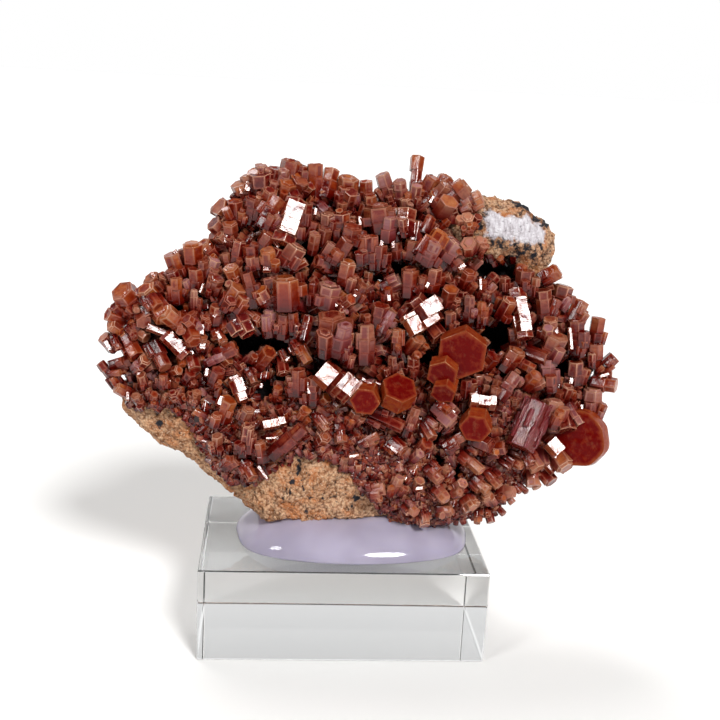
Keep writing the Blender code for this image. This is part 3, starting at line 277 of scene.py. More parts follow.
    (-10.6, 47.2, 1.1, 3.0, 82, 20, 0.2, "r"), (-9.2, 45.4, 1.2, 3.0, 75, 35, 0.5, "b"),
    (-7.0, 46.8, 0.9, 3.4, 88, 15, 0.1, "r"), (-11.6, 44.4, 1.0, 2.8, 70, 40, 0.6, "b"),
    (-11.6, 47.6, 0.8, 2.0, 80, 40, 0.5, "p"), (-13.3, 47.2, 0.9, 2.0, 112, 40, 0.5, "p"),
    (-12.4, 48.0, 0.8, 1.8, 95, 25, 0.7, "l"), (14.4, 42.2, 1.0, 2.4, 100, 55, 0, "t"),
    (15.9, 39.4, 0.9, 2.2, 80, 60, 0, "t"), (28.9, 16.6, 1.5, 3.0, -80, 20, 0.9, "r"),
    (26.9, 17.4, 1.3, 3.8, 78, 14, 1.3, "t"), (28.9, 10.4, 0.8, 3.0, -35, 12, -0.4, "t"),
    (27.2, 9.0, 0.95, 3.2, -50, 20, -0.3, "r"), (25.6, 8.1, 0.7, 2.6, -60, 15, -0.3, "t"),
    (23.8, 7.2, 0.65, 2.4, -40, 30, -0.2, "r"), (22.2, 5.8, 0.6, 2.4, -50, 20, -0.3, "t"),
    (20.9, 4.2, 0.6, 2.4, -45, 25, -0.3, "r"), (19.7, 3.2, 0.6, 2.2, -80, 30, -0.3, "r"),
    (18.1, 3.0, 0.55, 2.0, -100, 30, -0.2, "t"), (19.6, 5.6, 0.8, 2.6, 130, 30, 0.2, "t"),
    (21.6, 6.4, 0.9, 2.6, 20, 35, 0.2, "t"), (17.8, 7.8, 0.75, 3.0, -40, 15, 0.5, "t"),
    (19.4, 8.6, 0.8, 3.0, -45, 20, 0.5, "p"),
]

# White faces that throw the key light back: right, up, width, length, heading
mirrorFaces = [
    (-16.8, 39.6, 1, 2, 95), (-14.1, 46, 1, 1.3, 80), (-15, 45.5, 0.6, 1, 100), (-11.3, 45.4, 0.9, 1.2, 60),
    (-10.2, 42.5, 0.5, 2.2, 66), (-10.3, 38.7, 0.6, 1.3, -55), (-11.3, 35.3, 0.9, 1, 5),
    (-5.3, 43, 0.6, 0.9, 80), (-1.3, 38.6, 0.7, 1, 70), (0.5, 42, 0.6, 1.2, 90), (5.3, 42, 0.35, 1.8, 92),
    (9.9, 45.3, 0.7, 1, 60), (10.5, 41, 0.7, 1, 110), (7.4, 41, 1, 2.4, 86), (3.4, 39.3, 0.8, 1.1, 80),
    (4.9, 39.1, 0.8, 0.9, 95), (14, 36.5, 0.9, 1, 40), (16.8, 34.5, 0.35, 1.8, 90),
    (-19.2, 38, 0.8, 1.2, 60), (-23, 37, 0.9, 1.1, 130), (-26, 34, 0.8, 1, 120),
    (-24.6, 33.6, 0.8, 1.2, 150), (-26.3, 24.2, 0.7, 1.2, -70), (-28.3, 29, 0.7, 0.9, 60),
    (-31.5, 24.8, 0.8, 1.3, 120), (-19.3, 27.3, 0.9, 1.3, 80), (-19.4, 25.5, 1.2, 1.4, 85),
    (-17.7, 29.3, 0.7, 0.9, 60), (-17.3, 26.6, 0.7, 1, -60), (-18.6, 21.8, 0.8, 1, 80),
    (-16.9, 18.2, 0.9, 1.2, 70), (-28.9, 18.2, 0.6, 1.2, 90), (-19.6, 32.6, 0.4, 1.2, 70),
    (-12.3, 23.7, 0.8, 1, 60), (-9, 24, 0.6, 1.8, -70), (-8.3, 23.8, 0.5, 0.9, 50),
    (-11.6, 20.2, 0.5, 0.6, 80), (-1.6, 27.5, 0.7, 1.1, 80), (-1.2, 31.2, 0.9, 1.1, 40),
    (0.2, 32.6, 0.8, 1, 60), (-2.3, 31.2, 0.5, 0.8, 100), (-11.6, 31.5, 0.6, 1.2, 100),
    (-5.5, 20.3, 0.3, 1.8, 92), (4.5, 32.3, 0.7, 1.1, 95), (9.5, 34.1, 0.7, 1, 60),
    (8.4, 24.5, 0.8, 1.4, 80), (2, 21.2, 0.6, 1.5, -30), (13.2, 18, 0.5, 1.5, -50),
    (27.4, 28.6, 0.9, 0.9, 90), (29.4, 27.6, 0.7, 3, 92), (34.5, 22.8, 0.7, 1.3, 20),
    (29.8, 21.9, 0.7, 0.8, 80), (31.3, 18, 0.4, 1.6, 90), (-11, 8.8, 0.8, 2.2, -55),
    (0.7, 11.5, 0.8, 1.3, 15), (5.9, 12.4, 0.9, 1.2, -40), (13.2, 17.7, 0.5, 1.4, -50),
    (9.5, 7.3, 0.9, 1, 10), (16.2, 20, 0.5, 1, 10), (21.6, 33.2, 1.1, 1.9, 96), (22, 29.2, 1.4, 2.6, 100),
    (-10, 13.5, 0.5, 1.6, 8), (31, 29.2, 0.5, 1.2, 80), (-27.5, 21.5, 0.5, 0.8, 90),
    (-20.8, 24.6, 0.5, 1.2, -60),
]

# Gaps between the crystals, kept free, sunk into the rock and painted black as shade: right, up, radius
shadedGaps = [
    (-14.0, 25.5, 1.6), (-9.5, 25.6, 1.2), (-6.3, 31.0, 0.8), (-6.2, 38.5, 0.9), (-6.2, 36.6, 0.8),
    (-6.3, 33.0, 0.7), (2.2, 39.4, 0.7), (6.0, 36.0, 1.2), (-1.5, 25.0, 0.9), (-9.0, 21.5, 1.1),
    (-11.0, 19.0, 1.3), (17.4, 36.4, 1.1), (20.8, 36.0, 1.3), (19.2, 35.8, 1.1), (19.5, 27.3, 1.8),
    (20.6, 28.2, 1.2), (9.8, 24.5, 1.0), (29.0, 23.5, 1.3), (21.5, 23.0, 0.8), (-23.8, 24.6, 0.9),
    (-17.4, 20.2, 0.7), (-17.4, 18.0, 0.6), (12.0, 13.8, 1.0), (12.5, 10.5, 0.9), (15.0, 9.3, 0.8),
    (13.9, 28.2, 0.8), (-15.8, 26.4, 0.9), (-12.2, 26.0, 1.0), (3.4, 34.6, 0.7),
]

def onFace(right, up, out):
    return faceFoot + (faceRight * right + faceUp * up + faceOut * out) * mm


def alongFace(heading):
    return faceRight * math.cos(heading) + faceUp * math.sin(heading)


def clamp(value):
    return min(max(value, 0.0), 1.0)


def scatter(chance, spread):
    return Vector([chance.gauss(0.0, spread) for _ in range(3)])


def rimReach(angle):
    way = Vector((math.cos(angle), math.sin(angle)))
    middle = Vector(rockForm["middle"])
    outline = rockForm["outline"]
    reach = 1.0
    for start, end in zip(outline, outline[1:] + outline[:1]):
        first = Vector(start) - middle
        along = Vector(end) - Vector(start)
        turn = way.x * along.y - way.y * along.x
        if abs(turn) < 1e-9:
            continue
        distance = (first.x * along.y - first.y * along.x) / turn
        share = (first.x * way.y - first.y * way.x) / turn
        if distance > 0.0 and -1e-6 <= share <= 1.0 + 1e-6:
            reach = max(reach, distance)
    return reach


rimTable = [rimReach(math.radians(step * 0.5)) for step in range(721)]


def rimDistance(angle):
    place = (math.degrees(angle) % 360.0) * 2.0
    step = int(place)
    share = place - step
    return rimTable[step] * (1.0 - share) + rimTable[min(step + 1, 720)] * share


def frontRise(right, up):
    across = right - rockForm["middle"][0]
    above = up - rockForm["middle"][1]
    edge = min(math.hypot(across, above) / rimDistance(math.atan2(above, across)), 1.0)
    rise = rockForm["crown"] - rockForm["rimDrop"] * edge ** 4
    for key, sign in (("hollows", -1.0), ("swells", 1.0)):
        for x, y, radius, height in rockForm[key]:
            rise += sign * height * math.exp(-((right - x) ** 2 + (up - y) ** 2) / radius ** 2)
    return rise


def rockPoint(u, v, w):    # a point of a cube from -1 to 1, rounded and pulled out to the rock
    x = u * math.sqrt(1.0 - 0.5 * v * v)
    y = v * math.sqrt(1.0 - 0.5 * u * u)
    edge = math.hypot(x, y)
    angle = math.atan2(y, x)
    spread = 1.0 - 0.05 * max(w, 0.0) ** 2 - 0.12 * max(-w, 0.0) ** 2
    reach = edge * rimDistance(angle) * spread
    right = rockForm["middle"][0] + reach * math.cos(angle)
    up = rockForm["middle"][1] + reach * math.sin(angle)
    waves = rockForm["backWaves"] * noise.noise(Vector((right, up, 0.0)) * 0.11)
    back = -rockForm["thickness"] + rockForm["backRound"] * edge ** 3 + waves
    out = back + (frontRise(right, up) - back) * (0.5 + 0.5 * w)
    wobble = noise.noise_vector(Vector((right, up, out)) * 0.35) * 0.4
    return Vector((right + wobble.x, up + wobble.y, out + wobble.z))


def depthInside(polygon, right, up):    # mm inside a polygon, below zero outside it
    nearest = np.full(right.shape, 1e9)
    inside = np.zeros(right.shape, bool)
    for (x0, y0), (x1, y1) in zip(polygon, polygon[1:] + polygon[:1]):
        dx, dy = x1 - x0, y1 - y0
        share = np.clip(((right - x0) * dx + (up - y0) * dy) / (dx * dx + dy * dy), 0.0, 1.0)
        nearest = np.minimum(nearest, np.hypot(right - x0 - share * dx, up - y0 - share * dy))
        if dy != 0.0:
            inside ^= ((y0 > up) != (y1 > up)) & (right < dx * (up - y0) / dy + x0)
    return np.where(inside, nearest, -nearest)


def linear(hexColour):    # an sRGB hex colour as linear red, green, blue and 1
    parts = [int(hexColour[i:i + 2], 16) / 255.0 for i in (1, 3, 5)]
    return tuple(p / 12.92 if p <= 0.04045 else ((p + 0.055) / 1.055) ** 2.4 for p in parts) + (1.0,)


def perMm(size):    # texture scale for a pattern of this many mm on object coordinates
    return 1.0 / (size * mm)


def setInputs(node, inputs):    # each to a socket to link, a hex colour or a plain value
    for name, value in inputs.items():
        if isinstance(value, bpy.types.NodeSocket):
            node.id_data.links.new(value, node.inputs[name])
        else:
            node.inputs[name].default_value = linear(value) if isinstance(value, str) else value


def addNode(tree, kind, inputs={}, settings={}, output=0):    # gives one of its outputs
    node = tree.nodes.new("ShaderNode" + kind)
    for name, value in settings.items():
        if name != "stops":
            setattr(node, name, value)
            continue
        elements = node.color_ramp.elements
        while len(elements) < len(value):
            elements.new(0.5)
        for element, (place, colour) in zip(elements, value):
            element.position = place
            element.color = linear(colour)
    setInputs(node, inputs)
    return node.outputs[output]


def newMaterial(name):
    material = bpy.data.materials.new(name)
    material.use_nodes = True
    return material, material.node_tree, material.node_tree.nodes["Principled BSDF"]


sumOf = {"operation": "MULTIPLY_ADD"}    # first times second, plus third
product = {"operation": "MULTIPLY"}
blend = {"data_type": "RGBA"}            # inputs 0 factor, 6 first, 7 second colour, output 2
tinted = {"data_type": "RGBA", "blend_type": "MULTIPLY"}


# Vanadinite, a lead mineral, left as it grew: resinous faces with fine growth bands across the
# prisms, cores from deep red to orange, frosted rims, pale edges that are a painted highlight, and
# dust with a lilac painted sheen. The mesh carries the hue, edge, dust and sheen, and shade of every
# face, the shade partly painted shade.
def makeVanadinite(name, gloss, mottle, frosting, edges, bandScale, bandDepth):
    material, tree, shader = newMaterial(name)
    tone = addNode(tree, "Attribute", {}, {"attribute_name": "tone"}).node.outputs
    hue, edge, dustAndSheen = addNode(tree, "SeparateColor", {"Color": tone["Color"]}).node.outputs
    shade = tone["Alpha"]
    place = addNode(tree, "TexCoord", output="Object")
    grain = addNode(tree, "UVMap", {}, {"uv_map": "grain"})    # in mm
    banded = addNode(tree, "Mapping", {"Vector": grain, "Scale": bandScale})
    bands = addNode(tree, "TexNoise", {"Vector": banded, "Scale": 1.0, "Detail": 3.0, "Roughness": 0.6})
    clouds, specks, waves = [
        addNode(tree, "TexNoise", {"Vector": place, "Scale": perMm(size), "Detail": detail,
                                   "Roughness": rough})
        for size, detail, rough in ((0.8, 3.0, 0.6), (0.16, 2.0, 0.5), (1.5, 1.0, 0.5))]
    hue = addNode(tree, "Math", {0: clouds, 1: 1.5 * mottle, 2: hue}, sumOf)
    hue = addNode(tree, "Math", {0: bands, 1: 0.5 * mottle, 2: hue}, sumOf)
    hue = addNode(tree, "Math", {0: hue, 1: mottle}, {"operation": "SUBTRACT"})
    colour = addNode(tree, "ValToRGB", {"Fac": hue}, {"stops": [
        (0.0, "#5e0605"), (0.3, "#6f160b"), (0.55, "#802d13"), (0.8, "#914016"), (1.0, "#9e4e1c")]})
    # dust and painted sheen: a tan dust where the value is low, a lilac painted sheen where it is high
    dustAndSheenMask = addNode(tree, "Math", {0: bands, 1: 0.8, 2: dustAndSheen}, sumOf)
    dustAndSheenMask = addNode(tree, "Math", {0: dustAndSheenMask, 1: 0.9, 2: -0.4}, sumOf)
    dustAndSheenColour = addNode(tree, "ValToRGB", {"Fac": dustAndSheen}, {"stops": [(0.35, "#a3754f"), (0.75, "#96686c")]})
    frost = addNode(tree, "Math", {0: clouds, 1: 1.6 * mottle, 2: edge}, sumOf)
    frost = addNode(tree, "Math", {0: frost, 1: 1.15, 2: -0.95 * mottle}, sumOf)
    # painted highlight: pale edges where the bevels would catch the light, broken up by specks and waves
    edgeHighlight = addNode(tree, "Math", {0: specks, 1: 0.5, 2: edge}, sumOf)
    edgeHighlight = addNode(tree, "Math", {0: waves, 1: 0.9, 2: edgeHighlight}, sumOf)
    edgeHighlight = addNode(tree, "Math", {0: edgeHighlight, 1: 3.2, 2: -4.85}, sumOf)
    for factor, coat in ((dustAndSheenMask, dustAndSheenColour), (frost, frosting), (edgeHighlight, edges)):
        colour = addNode(tree, "Mix", {0: factor, 6: colour, 7: coat}, blend, 2)
    # shaded faces keep more of their red, a painted glow of light through the red crystal
    darker = addNode(tree, "Math", {0: shade, 1: 1.0}, {"operation": "MINIMUM"})
    darker = addNode(tree, "Math", {0: darker, 1: shade}, product)
    redder = addNode(tree, "Math", {0: shade, 1: 0.75}, {"operation": "POWER"})
    tint = addNode(tree, "CombineColor", {"Red": redder, "Green": darker, "Blue": darker})
    colour = addNode(tree, "Mix", {0: 1.0, 6: colour, 7: tint}, tinted, 2)
    rough = addNode(tree, "Math", {0: dustAndSheen, 1: 0.2, 2: 0.03}, sumOf)
    rough = addNode(tree, "Math", {0: specks, 1: 0.12, 2: rough}, sumOf)
    relief = addNode(tree, "Math", {0: bands, 1: 1.0, 2: specks}, sumOf)
    bump = addNode(tree, "Bump", {"Height": waves, "Strength": 1.0, "Distance": 0.12 * mm})
    bump = addNode(tree, "Bump", {"Height": relief, "Strength": 0.3, "Distance": bandDepth * mm,
                                  "Normal": bump})
    setInputs(shader, {"Base Color": colour, "Roughness": rough, "Normal": bump, "Specular IOR Level": gloss,
                       "IOR": 1.54})    # lower than the real 2.4, which would mirror the pale floor
    return material


# Iron-stained matrix rock, broken: granular tan to orange, with black manganese spots and a white
# fibrous patch, dark red where the crystals grow, there darkened nearly to black as painted shade and
# black in the gaps as painted shade. The mesh carries these as an attribute.
def makeRock():
    material, tree, shader = newMaterial("matrix rock, broken")
    ground = addNode(tree, "Attribute", {}, {"attribute_name": "ground"}).node.outputs
    bare, whiteness, blackness = addNode(tree, "SeparateColor", {"Color": ground["Color"]}).node.outputs
    place = addNode(tree, "TexCoord", output="Object")
    wide, fine, rust, specks, sand = [
        addNode(tree, "TexNoise", {"Vector": place, "Scale": perMm(size), "Detail": detail,
                                   "Roughness": rough})
        for size, detail, rough in ((5.0, 5.0, 0.6), (0.6, 5.0, 0.7), (2.4, 4.0, 0.65), (0.9, 3.0, 0.5),
                                    (0.25, 3.0, 0.6))]
    grains = addNode(tree, "TexVoronoi", {"Vector": place, "Scale": perMm(0.42)}, output="Distance")
    colour = addNode(tree, "ValToRGB", {"Fac": wide}, {"stops": [
        (0.3, "#7f5238"), (0.44, "#b4805c"), (0.57, "#c79a7b"), (0.72, "#ad6634")]})
    for source, scale, offset, stain in (
            (fine, 3.4, -1.4, "#dcb690"), (grains, 1.9, -0.72, "#6b3f22"), (rust, 5.0, -2.48, "#b8682f"),
            (rust, -6.0, 2.2, "#5e3524"), (sand, 4.0, -2.2, "#ead0b4"), (specks, 9.0, -5.5, "#3f2f28")):
        factor = addNode(tree, "Math", {0: source, 1: scale, 2: offset}, sumOf)
        colour = addNode(tree, "Mix", {0: factor, 6: colour, 7: stain}, blend, 2)
    fibre = addNode(tree, "Mapping", {"Vector": place, "Scale": (1.0, 0.5, 0.35)})
    fibres = addNode(tree, "TexNoise", {"Vector": fibre, "Scale": perMm(0.35), "Detail": 4.0})
    white = addNode(tree, "ValToRGB", {"Fac": fibres}, {"stops": [
        (0.25, "#9d9296"), (0.5, "#cfc9ce"), (0.75, "#e6e3e6")]})
    # painted shade: the crust is nearly black, and black in the gaps between the crystals
    crustOutOfShade = addNode(tree, "Math", {0: fine, 1: ground["Alpha"]}, product)
    crust = addNode(tree, "ValToRGB", {"Fac": crustOutOfShade}, {"stops": [
        (0.2, "#050101"), (0.5, "#1c0604"), (0.7, "#3a120a")]})
    # borders broken up by the fine grain; the crust, painted dark as shade, is where the rock isn't bare
    for border, grit, scale, offset, stain in ((whiteness, 1.6, 2.5, -2.6, white),
                                               (blackness, 2.0, 3.0, -4.3, "#26262c"),
                                               (bare, 1.0, -3.0, 3.6, crust)):
        factor = addNode(tree, "Math", {0: fine, 1: grit, 2: border}, sumOf)
        factor = addNode(tree, "Math", {0: factor, 1: scale, 2: offset}, sumOf)
        colour = addNode(tree, "Mix", {0: factor, 6: colour, 7: stain}, blend, 2)
    relief = addNode(tree, "Math", {0: grains, 1: -0.8, 2: fine}, sumOf)
    relief = addNode(tree, "Math", {0: sand, 1: 0.5, 2: relief}, sumOf)
    bump = addNode(tree, "Bump", {"Height": relief, "Strength": 0.9, "Distance": 0.3 * mm})
    setInputs(shader, {"Base Color": colour, "Roughness": 0.82, "IOR": 1.5, "Specular IOR Level": 0.2,
                       "Normal": bump})
    return material


# Clear cast acrylic, edges polished: glassy, with the fine rubs and dust of handling.
def makeAcrylic():
    material, tree, shader = newMaterial("clear cast acrylic, polished")
    place = addNode(tree, "TexCoord", output="Object")
    drawn = addNode(tree, "Mapping", {"Vector": place, "Rotation": (0.3, 0.5, 0.4),
                                      "Scale": (1.0, 9.0, 9.0)})
    rubs = addNode(tree, "TexNoise", {"Vector": drawn, "Scale": perMm(6.0), "Detail": 3.0})
    rough = addNode(tree, "Math", {0: rubs, 1: 0.08, 2: -0.04}, dict(sumOf, use_clamp=True))
    setInputs(shader, {"Base Color": "#f6f7f7", "Transmission Weight": 1.0, "IOR": 1.49,
                       "Roughness": rough})
    return material


# Hot-melt glue, set as it flowed: milky, bluish and very glossy.
def makeGlue():
    material, tree, shader = newMaterial("hot-melt glue, milky")
    place = addNode(tree, "TexCoord", output="Object")
    clouds = addNode(tree, "TexNoise", {"Vector": place, "Scale": perMm(7.0), "Detail": 2.0})
    colour = addNode(tree, "ValToRGB", {"Fac": clouds}, {"stops": [(0.3, "#9a93a5"), (0.7, "#aea7ba")]})
    setInputs(shader, {"Base Color": colour, "Roughness": 0.06, "IOR": 1.49, "Subsurface Weight": 0.6,
                       "Subsurface Radius": (1.2 * mm, 1.2 * mm, 1.8 * mm), "Subsurface Scale": 1.0})
    return material


# Pale matt backdrop paper.
def makeFloor():
    material, tree, shader = newMaterial("pale backdrop paper")
    place = addNode(tree, "TexCoord", output="Object")
    tooth = addNode(tree, "TexNoise", {"Vector": place, "Scale": perMm(1.2), "Detail": 2.0})
    bump = addNode(tree, "Bump", {"Height": tooth, "Strength": 0.1, "Distance": 0.05 * mm})
    setInputs(shader, {"Base Color": studio["floorColour"], "Roughness": 0.9, "Normal": bump})
    return material


def meshFrom(shape, name):
    mesh = bpy.data.meshes.new(name)
    shape.to_mesh(mesh)
    shape.free()
    return mesh


def addObject(name, data):
    made = bpy.data.objects.new(name, data)
    bpy.context.scene.collection.objects.link(made)
    return made


def addPiece(name, shape, materials, nodes):
    piece = addObject(name, meshFrom(shape, name))
    for material in materials:
        piece.data.materials.append(material)
    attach(piece, "root")
    if nodes:
        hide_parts(*nodes)


def bevelEdges(shape, edges, offset, segments=1):
    return bmesh.ops.bevel(shape, geom=edges, offset=offset, offset_type='OFFSET', segments=segments,
                           profile=0.5, affect='EDGES', material=-1)


# Camera and light
def wayTo(turn, rise):
    turn, rise = math.radians(turn), math.radians(rise)
    return Vector((math.sin(turn) * math.cos(rise), -math.cos(turn) * math.cos(rise), math.sin(rise)))


def addSun(name, turn, rise, width, strength):
    sun = bpy.data.lights.new(name, "SUN")
    sun.angle = math.radians(width)
    sun.energy = strength
    addObject(name, sun).rotation_euler = wayTo(turn, rise).to_track_quat('Z', 'Y').to_euler()


def setCamera():
    pitch, yaw, roll = (math.radians(studio[key]) for key in ("pitch", "yaw", "roll"))
    forward = Vector((math.sin(yaw) * math.cos(pitch), math.cos(yaw) * math.cos(pitch), -math.sin(pitch)))
    right = forward.cross(Vector((0.0, 0.0, 1.0))).normalized()
    down = forward.cross(right).normalized()
    turnedRight = right * math.cos(roll) + down * math.sin(roll)
    turnedDown = -right * math.sin(roll) + down * math.cos(roll)
    place = Matrix((turnedRight, -turnedDown, -forward)).transposed().to_4x4()
    place.translation = Vector(studio["camera"]) * mm
    lens = bpy.data.cameras.new("camera")
    lens.lens = studio["lens"]
    lens.sensor_width = 36.0
    lens.clip_start = 0.005
    camera = addObject("camera", lens)
    camera.matrix_world = place
    bpy.context.scene.camera = camera


def setRoom():    # a white backdrop behind, a thin white horizon, dim room in front, soft ceiling
    world = bpy.data.worlds.new("studio room")
    world.use_nodes = True
    tree = world.node_tree
    way = addNode(tree, "TexCoord", output="Generated")
    axes = addNode(tree, "SeparateXYZ", {"Vector": way}).node.outputs
    ceiling, behind, lower, horizon = [
        addNode(tree, "MapRange", {"Value": axes[axis], "From Min": start, "From Max": end,
                                   "To Min": first, "To Max": last}, {"interpolation_type": "SMOOTHSTEP"})
        for axis, start, end, first, last in (("Z", 0.3, 0.95, studio["room"], studio["ceiling"]),
                                              ("Y", 0.05, 0.55, 0.0, 1.0), ("Z", 0.72, 0.35, 0.0, 1.0),
                                              ("Z", 0.12, 0.055, 0.0, 1.0))]
    paper = addNode(tree, "Math", {0: behind, 1: lower}, product)
    paper = addNode(tree, "Math", {0: paper, 1: horizon}, {"operation": "MAXIMUM"})
    rest = addNode(tree, "Math", {0: studio["backdrop"], 1: ceiling}, {"operation": "SUBTRACT"})
    strength = addNode(tree, "Math", {0: rest, 1: paper, 2: ceiling}, sumOf)
    setInputs(tree.nodes["Background"], {"Color": "#ffffff", "Strength": strength})
    bpy.context.scene.world = world
    bpy.context.scene.view_settings.view_transform = "Standard"


def layFloor():
    shape = bmesh.new()
    bmesh.ops.create_grid(shape, x_segments=2, y_segments=2, size=0.5 * studio["floorSize"],
                          matrix=Matrix.Translation((0.0, 0.0, -0.03 * mm)))
    floor = addObject("floor", meshFrom(shape, "floor"))
    floor.data.materials.append(makeFloor())


blockForm = {"edge": 0.22, "segments": 3}    # mm, the polished round on each edge


def buildBlock(material):
    low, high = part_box("display_block")
    size = high - low
    shape = bmesh.new()
    bmesh.ops.create_cube(shape, size=1.0, matrix=Matrix.Translation((low + high) * 0.5)
                          @ Matrix.Diagonal((size.x, size.y, size.z, 1.0)))
    bevelEdges(shape, shape.edges[:], blockForm["edge"] * mm, blockForm["segments"])
    addPiece("acrylic_display_block", shape, [material], ["display_block"])


glueForm = {
    "squareness": 2.6,        # 2 is an ellipse, more is blunter
    "reach": 0.965,           # of the solid's half width
    "crown": 4.5,             # mm above its foot
    "climb": (0.12, -0.55, 0.3),    # height, place and width of the swell at the left, in shares
    "sink": 0.2,              # mm into the block
}


def buildGlue(material):
    low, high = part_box("glue_bed")
    middle = (low + high) * 0.5
    half = (high - low) * 0.5
    power = glueForm["squareness"]
    swell, swellPlace, swellWidth = glueForm["climb"]
    shape = bmesh.new()
    bmesh.ops.create_uvsphere(shape, u_segments=128, v_segments=64, radius=1.0)
    for vert in shape.verts:
        x, y, z = vert.co
        angle = math.atan2(y, x)
        square = 1.0 / (abs(math.cos(angle)) ** power + abs(math.sin(angle)) ** power) ** (1.0 / power)
        ripple = 1.0 + 0.012 * math.sin(3.0 * angle + 0.6) + 0.008 * math.sin(7.0 * angle)
        ripple = square * glueForm["reach"] * ripple
        crown = max(0.0, 1.0 - math.hypot(x, y) ** 2.4) ** 0.62
        climb = swell * math.exp(-((x - swellPlace) / swellWidth) ** 2) * crown
        height = 0.0 if z < 0.0 else (crown + climb) * glueForm["crown"] * mm
        vert.co = (middle.x + x * ripple * half.x, middle.y + y * ripple * half.y,
                   low.z - glueForm["sink"] * mm + height)
    bmesh.ops.remove_doubles(shape, verts=shape.verts, dist=0.01 * mm)
    bmesh.ops.recalc_face_normals(shape, faces=shape.faces)
    for face in shape.faces:
        face.smooth = True
    addPiece("milky_glue_mound", shape, [material], ["glue_bed"])


def marked(share, right, up, spots):    # 0 to 1 around each spot, the most of any
    most = np.zeros(len(right))
    for x, y, radius in spots:
        most = np.maximum(most, share(right - x, up - y, radius))
    return most


def spotShare(across, above, radius):
    return np.clip(1.3 - np.hypot(across, above) / radius, 0.0, 1.0)


def gapShare(across, above, radius):
    return np.exp(-(across ** 2 + above ** 2) / (1.2 * radius) ** 2)


def rockRelief(place, wander, out, white, gap):    # mm out of the smooth rock, and how deep its seams are
    lumps = noise.fractal(place * 0.42, 0.7, 2.1, 4)
    grains = noise.voronoi(place * 1.3 + wander)[0][0]
    pits = max(0.0, noise.noise(place * 1.1 + Vector((5.0, 1.0, 9.0))) - 0.25)
    seams = max(0.0, 0.10 - abs(noise.noise(place * 0.5 + wander * 0.6))) * 10.0
    push = (rockForm["lumps"] * lumps + rockForm["grains"] * (0.45 - grains) + 0.14 * noise.noise(place * 2.3)
            - rockForm["pits"] * pits - rockForm["seams"] * seams)
    if out < -1.5:    # broken facets behind
        centre = noise.voronoi((place + wander * 0.8) * 0.15)[1][0] / 0.15
        tilt = noise.noise_vector(centre * 0.9) * 0.75
        step = max(-1.7, min(0.1, (place - centre).dot(tilt) - 0.5))
        push += step * min(1.0, (-1.5 - out) / 3.0)
    if place.x > 14.0 and place.y > 36.0:    # the outcrop is rougher
        push += 0.5 * noise.noise(place * 0.8) + 0.25 * noise.noise(place * 2.4)
    if white > 0.4:
        push = 0.25 * push + 0.25 * white
    for x, y, halfWidth, halfHeight, depth in rockForm["cracks"]:
        if out > -2.0:
            bend = 0.35 * noise.noise(Vector((0.0, place.y * 0.9, x)))
            across, above = (place.x - x + bend) / halfWidth, (place.y - y) / halfHeight
            push -= depth * math.exp(-across ** 2 - above ** 2)
    return push - rockForm["gapDepth"] * gap, seams


def buildRock(material):    # gives the sites where crystals can grow, in front and behind
    shape = bmesh.new()
    bmesh.ops.create_cube(shape, size=2.0)
    for axis, key in enumerate(("columns", "rows", "layers")):
        along = [edge for edge in shape.edges if abs(edge.verts[0].co[axis] - edge.verts[1].co[axis]) > 1e-5]
        bmesh.ops.subdivide_edges(shape, edges=along, cuts=rockForm[key] - 1, use_grid_fill=True)
    places = [rockPoint(*vert.co) for vert in shape.verts]
    for vert, place in zip(shape.verts, places):
        vert.co = onFace(*place)
    bmesh.ops.recalc_face_normals(shape, faces=shape.faces)
    shape.normal_update()
    right, up, out = (np.array([place[axis] for place in places]) for axis in range(3))
    normals = [vert.normal.copy() for vert in shape.verts]
    wander = [noise.noise_vector(place * 0.8) * 0.7 + noise.noise_vector(place * 2.1) * 0.35
              for place in places]
    right = right + np.array([shift.x for shift in wander])
    up = up + np.array([shift.y for shift in wander])
    bare = [depthInside(rockForm[key], right, up) for key in ("lowerBare", "rightBare", "outcrop")]
    bare = np.clip(0.5 + np.maximum.reduce(bare) * 0.7, 0.0, 1.0)
    bare = np.maximum(bare, np.clip((rockForm["frontEnds"] - out) * 0.5, 0.0, 1.0))
    white = np.clip(0.5 + depthInside(rockForm["whitePatch"], right, up) * 0.8, 0.0, 1.0)
    white = np.where(out > rockForm["frontEnds"], white, 0.0)
    front = out > rockForm["spotsEnd"]
    black = np.maximum(marked(spotShare, right, up, rockForm["blackSpots"]),
                       0.66 * marked(spotShare, right, up, rockForm["darkMottles"])) * front
    for index, place in enumerate(places):
        if not front[index] and noise.noise(place * 0.9 + Vector((7.0, 3.0, 1.0))) > 0.62:
            black[index] = 1.0
    gap = marked(gapShare, right, up, shadedGaps) * front
    # in the gaps the rock shows its crust, which the material paints black as shade
    bare = bare * (1.0 - 0.9 * np.minimum(gap * 1.5, 1.0))
    ground = shape.verts.layers.float_color.new("ground")
    for index, vert in enumerate(shape.verts):
        push, seams = rockRelief(places[index], wander[index], out[index], white[index], gap[index])
        vert.co += normals[index] * (push * mm)
        # the last channel is painted shade, low in the gaps
        vert[ground] = (bare[index], white[index], max(black[index], 0.62 * seams), 1.0 - gap[index])
    sites = []
    behind = []
    for index, vert in enumerate(shape.verts):
        site = (vert.co.copy(), normals[index], places[index], bare[index])
        if out[index] > rockForm["crustEnds"]:
            if bare[index] < 0.62 and gap[index] < 0.45:
                sites.append(site)
        elif noise.noise(places[index] * 0.16 + Vector((3.0, 8.0, 2.0))) > 0.32:
            behind.append(site)
    for face in shape.faces:
        face.smooth = True
    print("rock", len(shape.faces), "faces,", len(sites), "crystal sites,", len(behind), "behind")
    addPiece("matrix_rock_rough", shape, [material], ["matrix_rock"])
    return sites, behind


keyWay = wayTo(*studio["key"][:2])
sideWay = wayTo(*studio["side"][:2])
cameraPlace = Vector(studio["camera"]) * mm


def mirrorNormal(place, lightWay=keyWay):    # of a face that throws a light into the lens
    return ((cameraPlace - place).normalized() + lightWay).normalized()


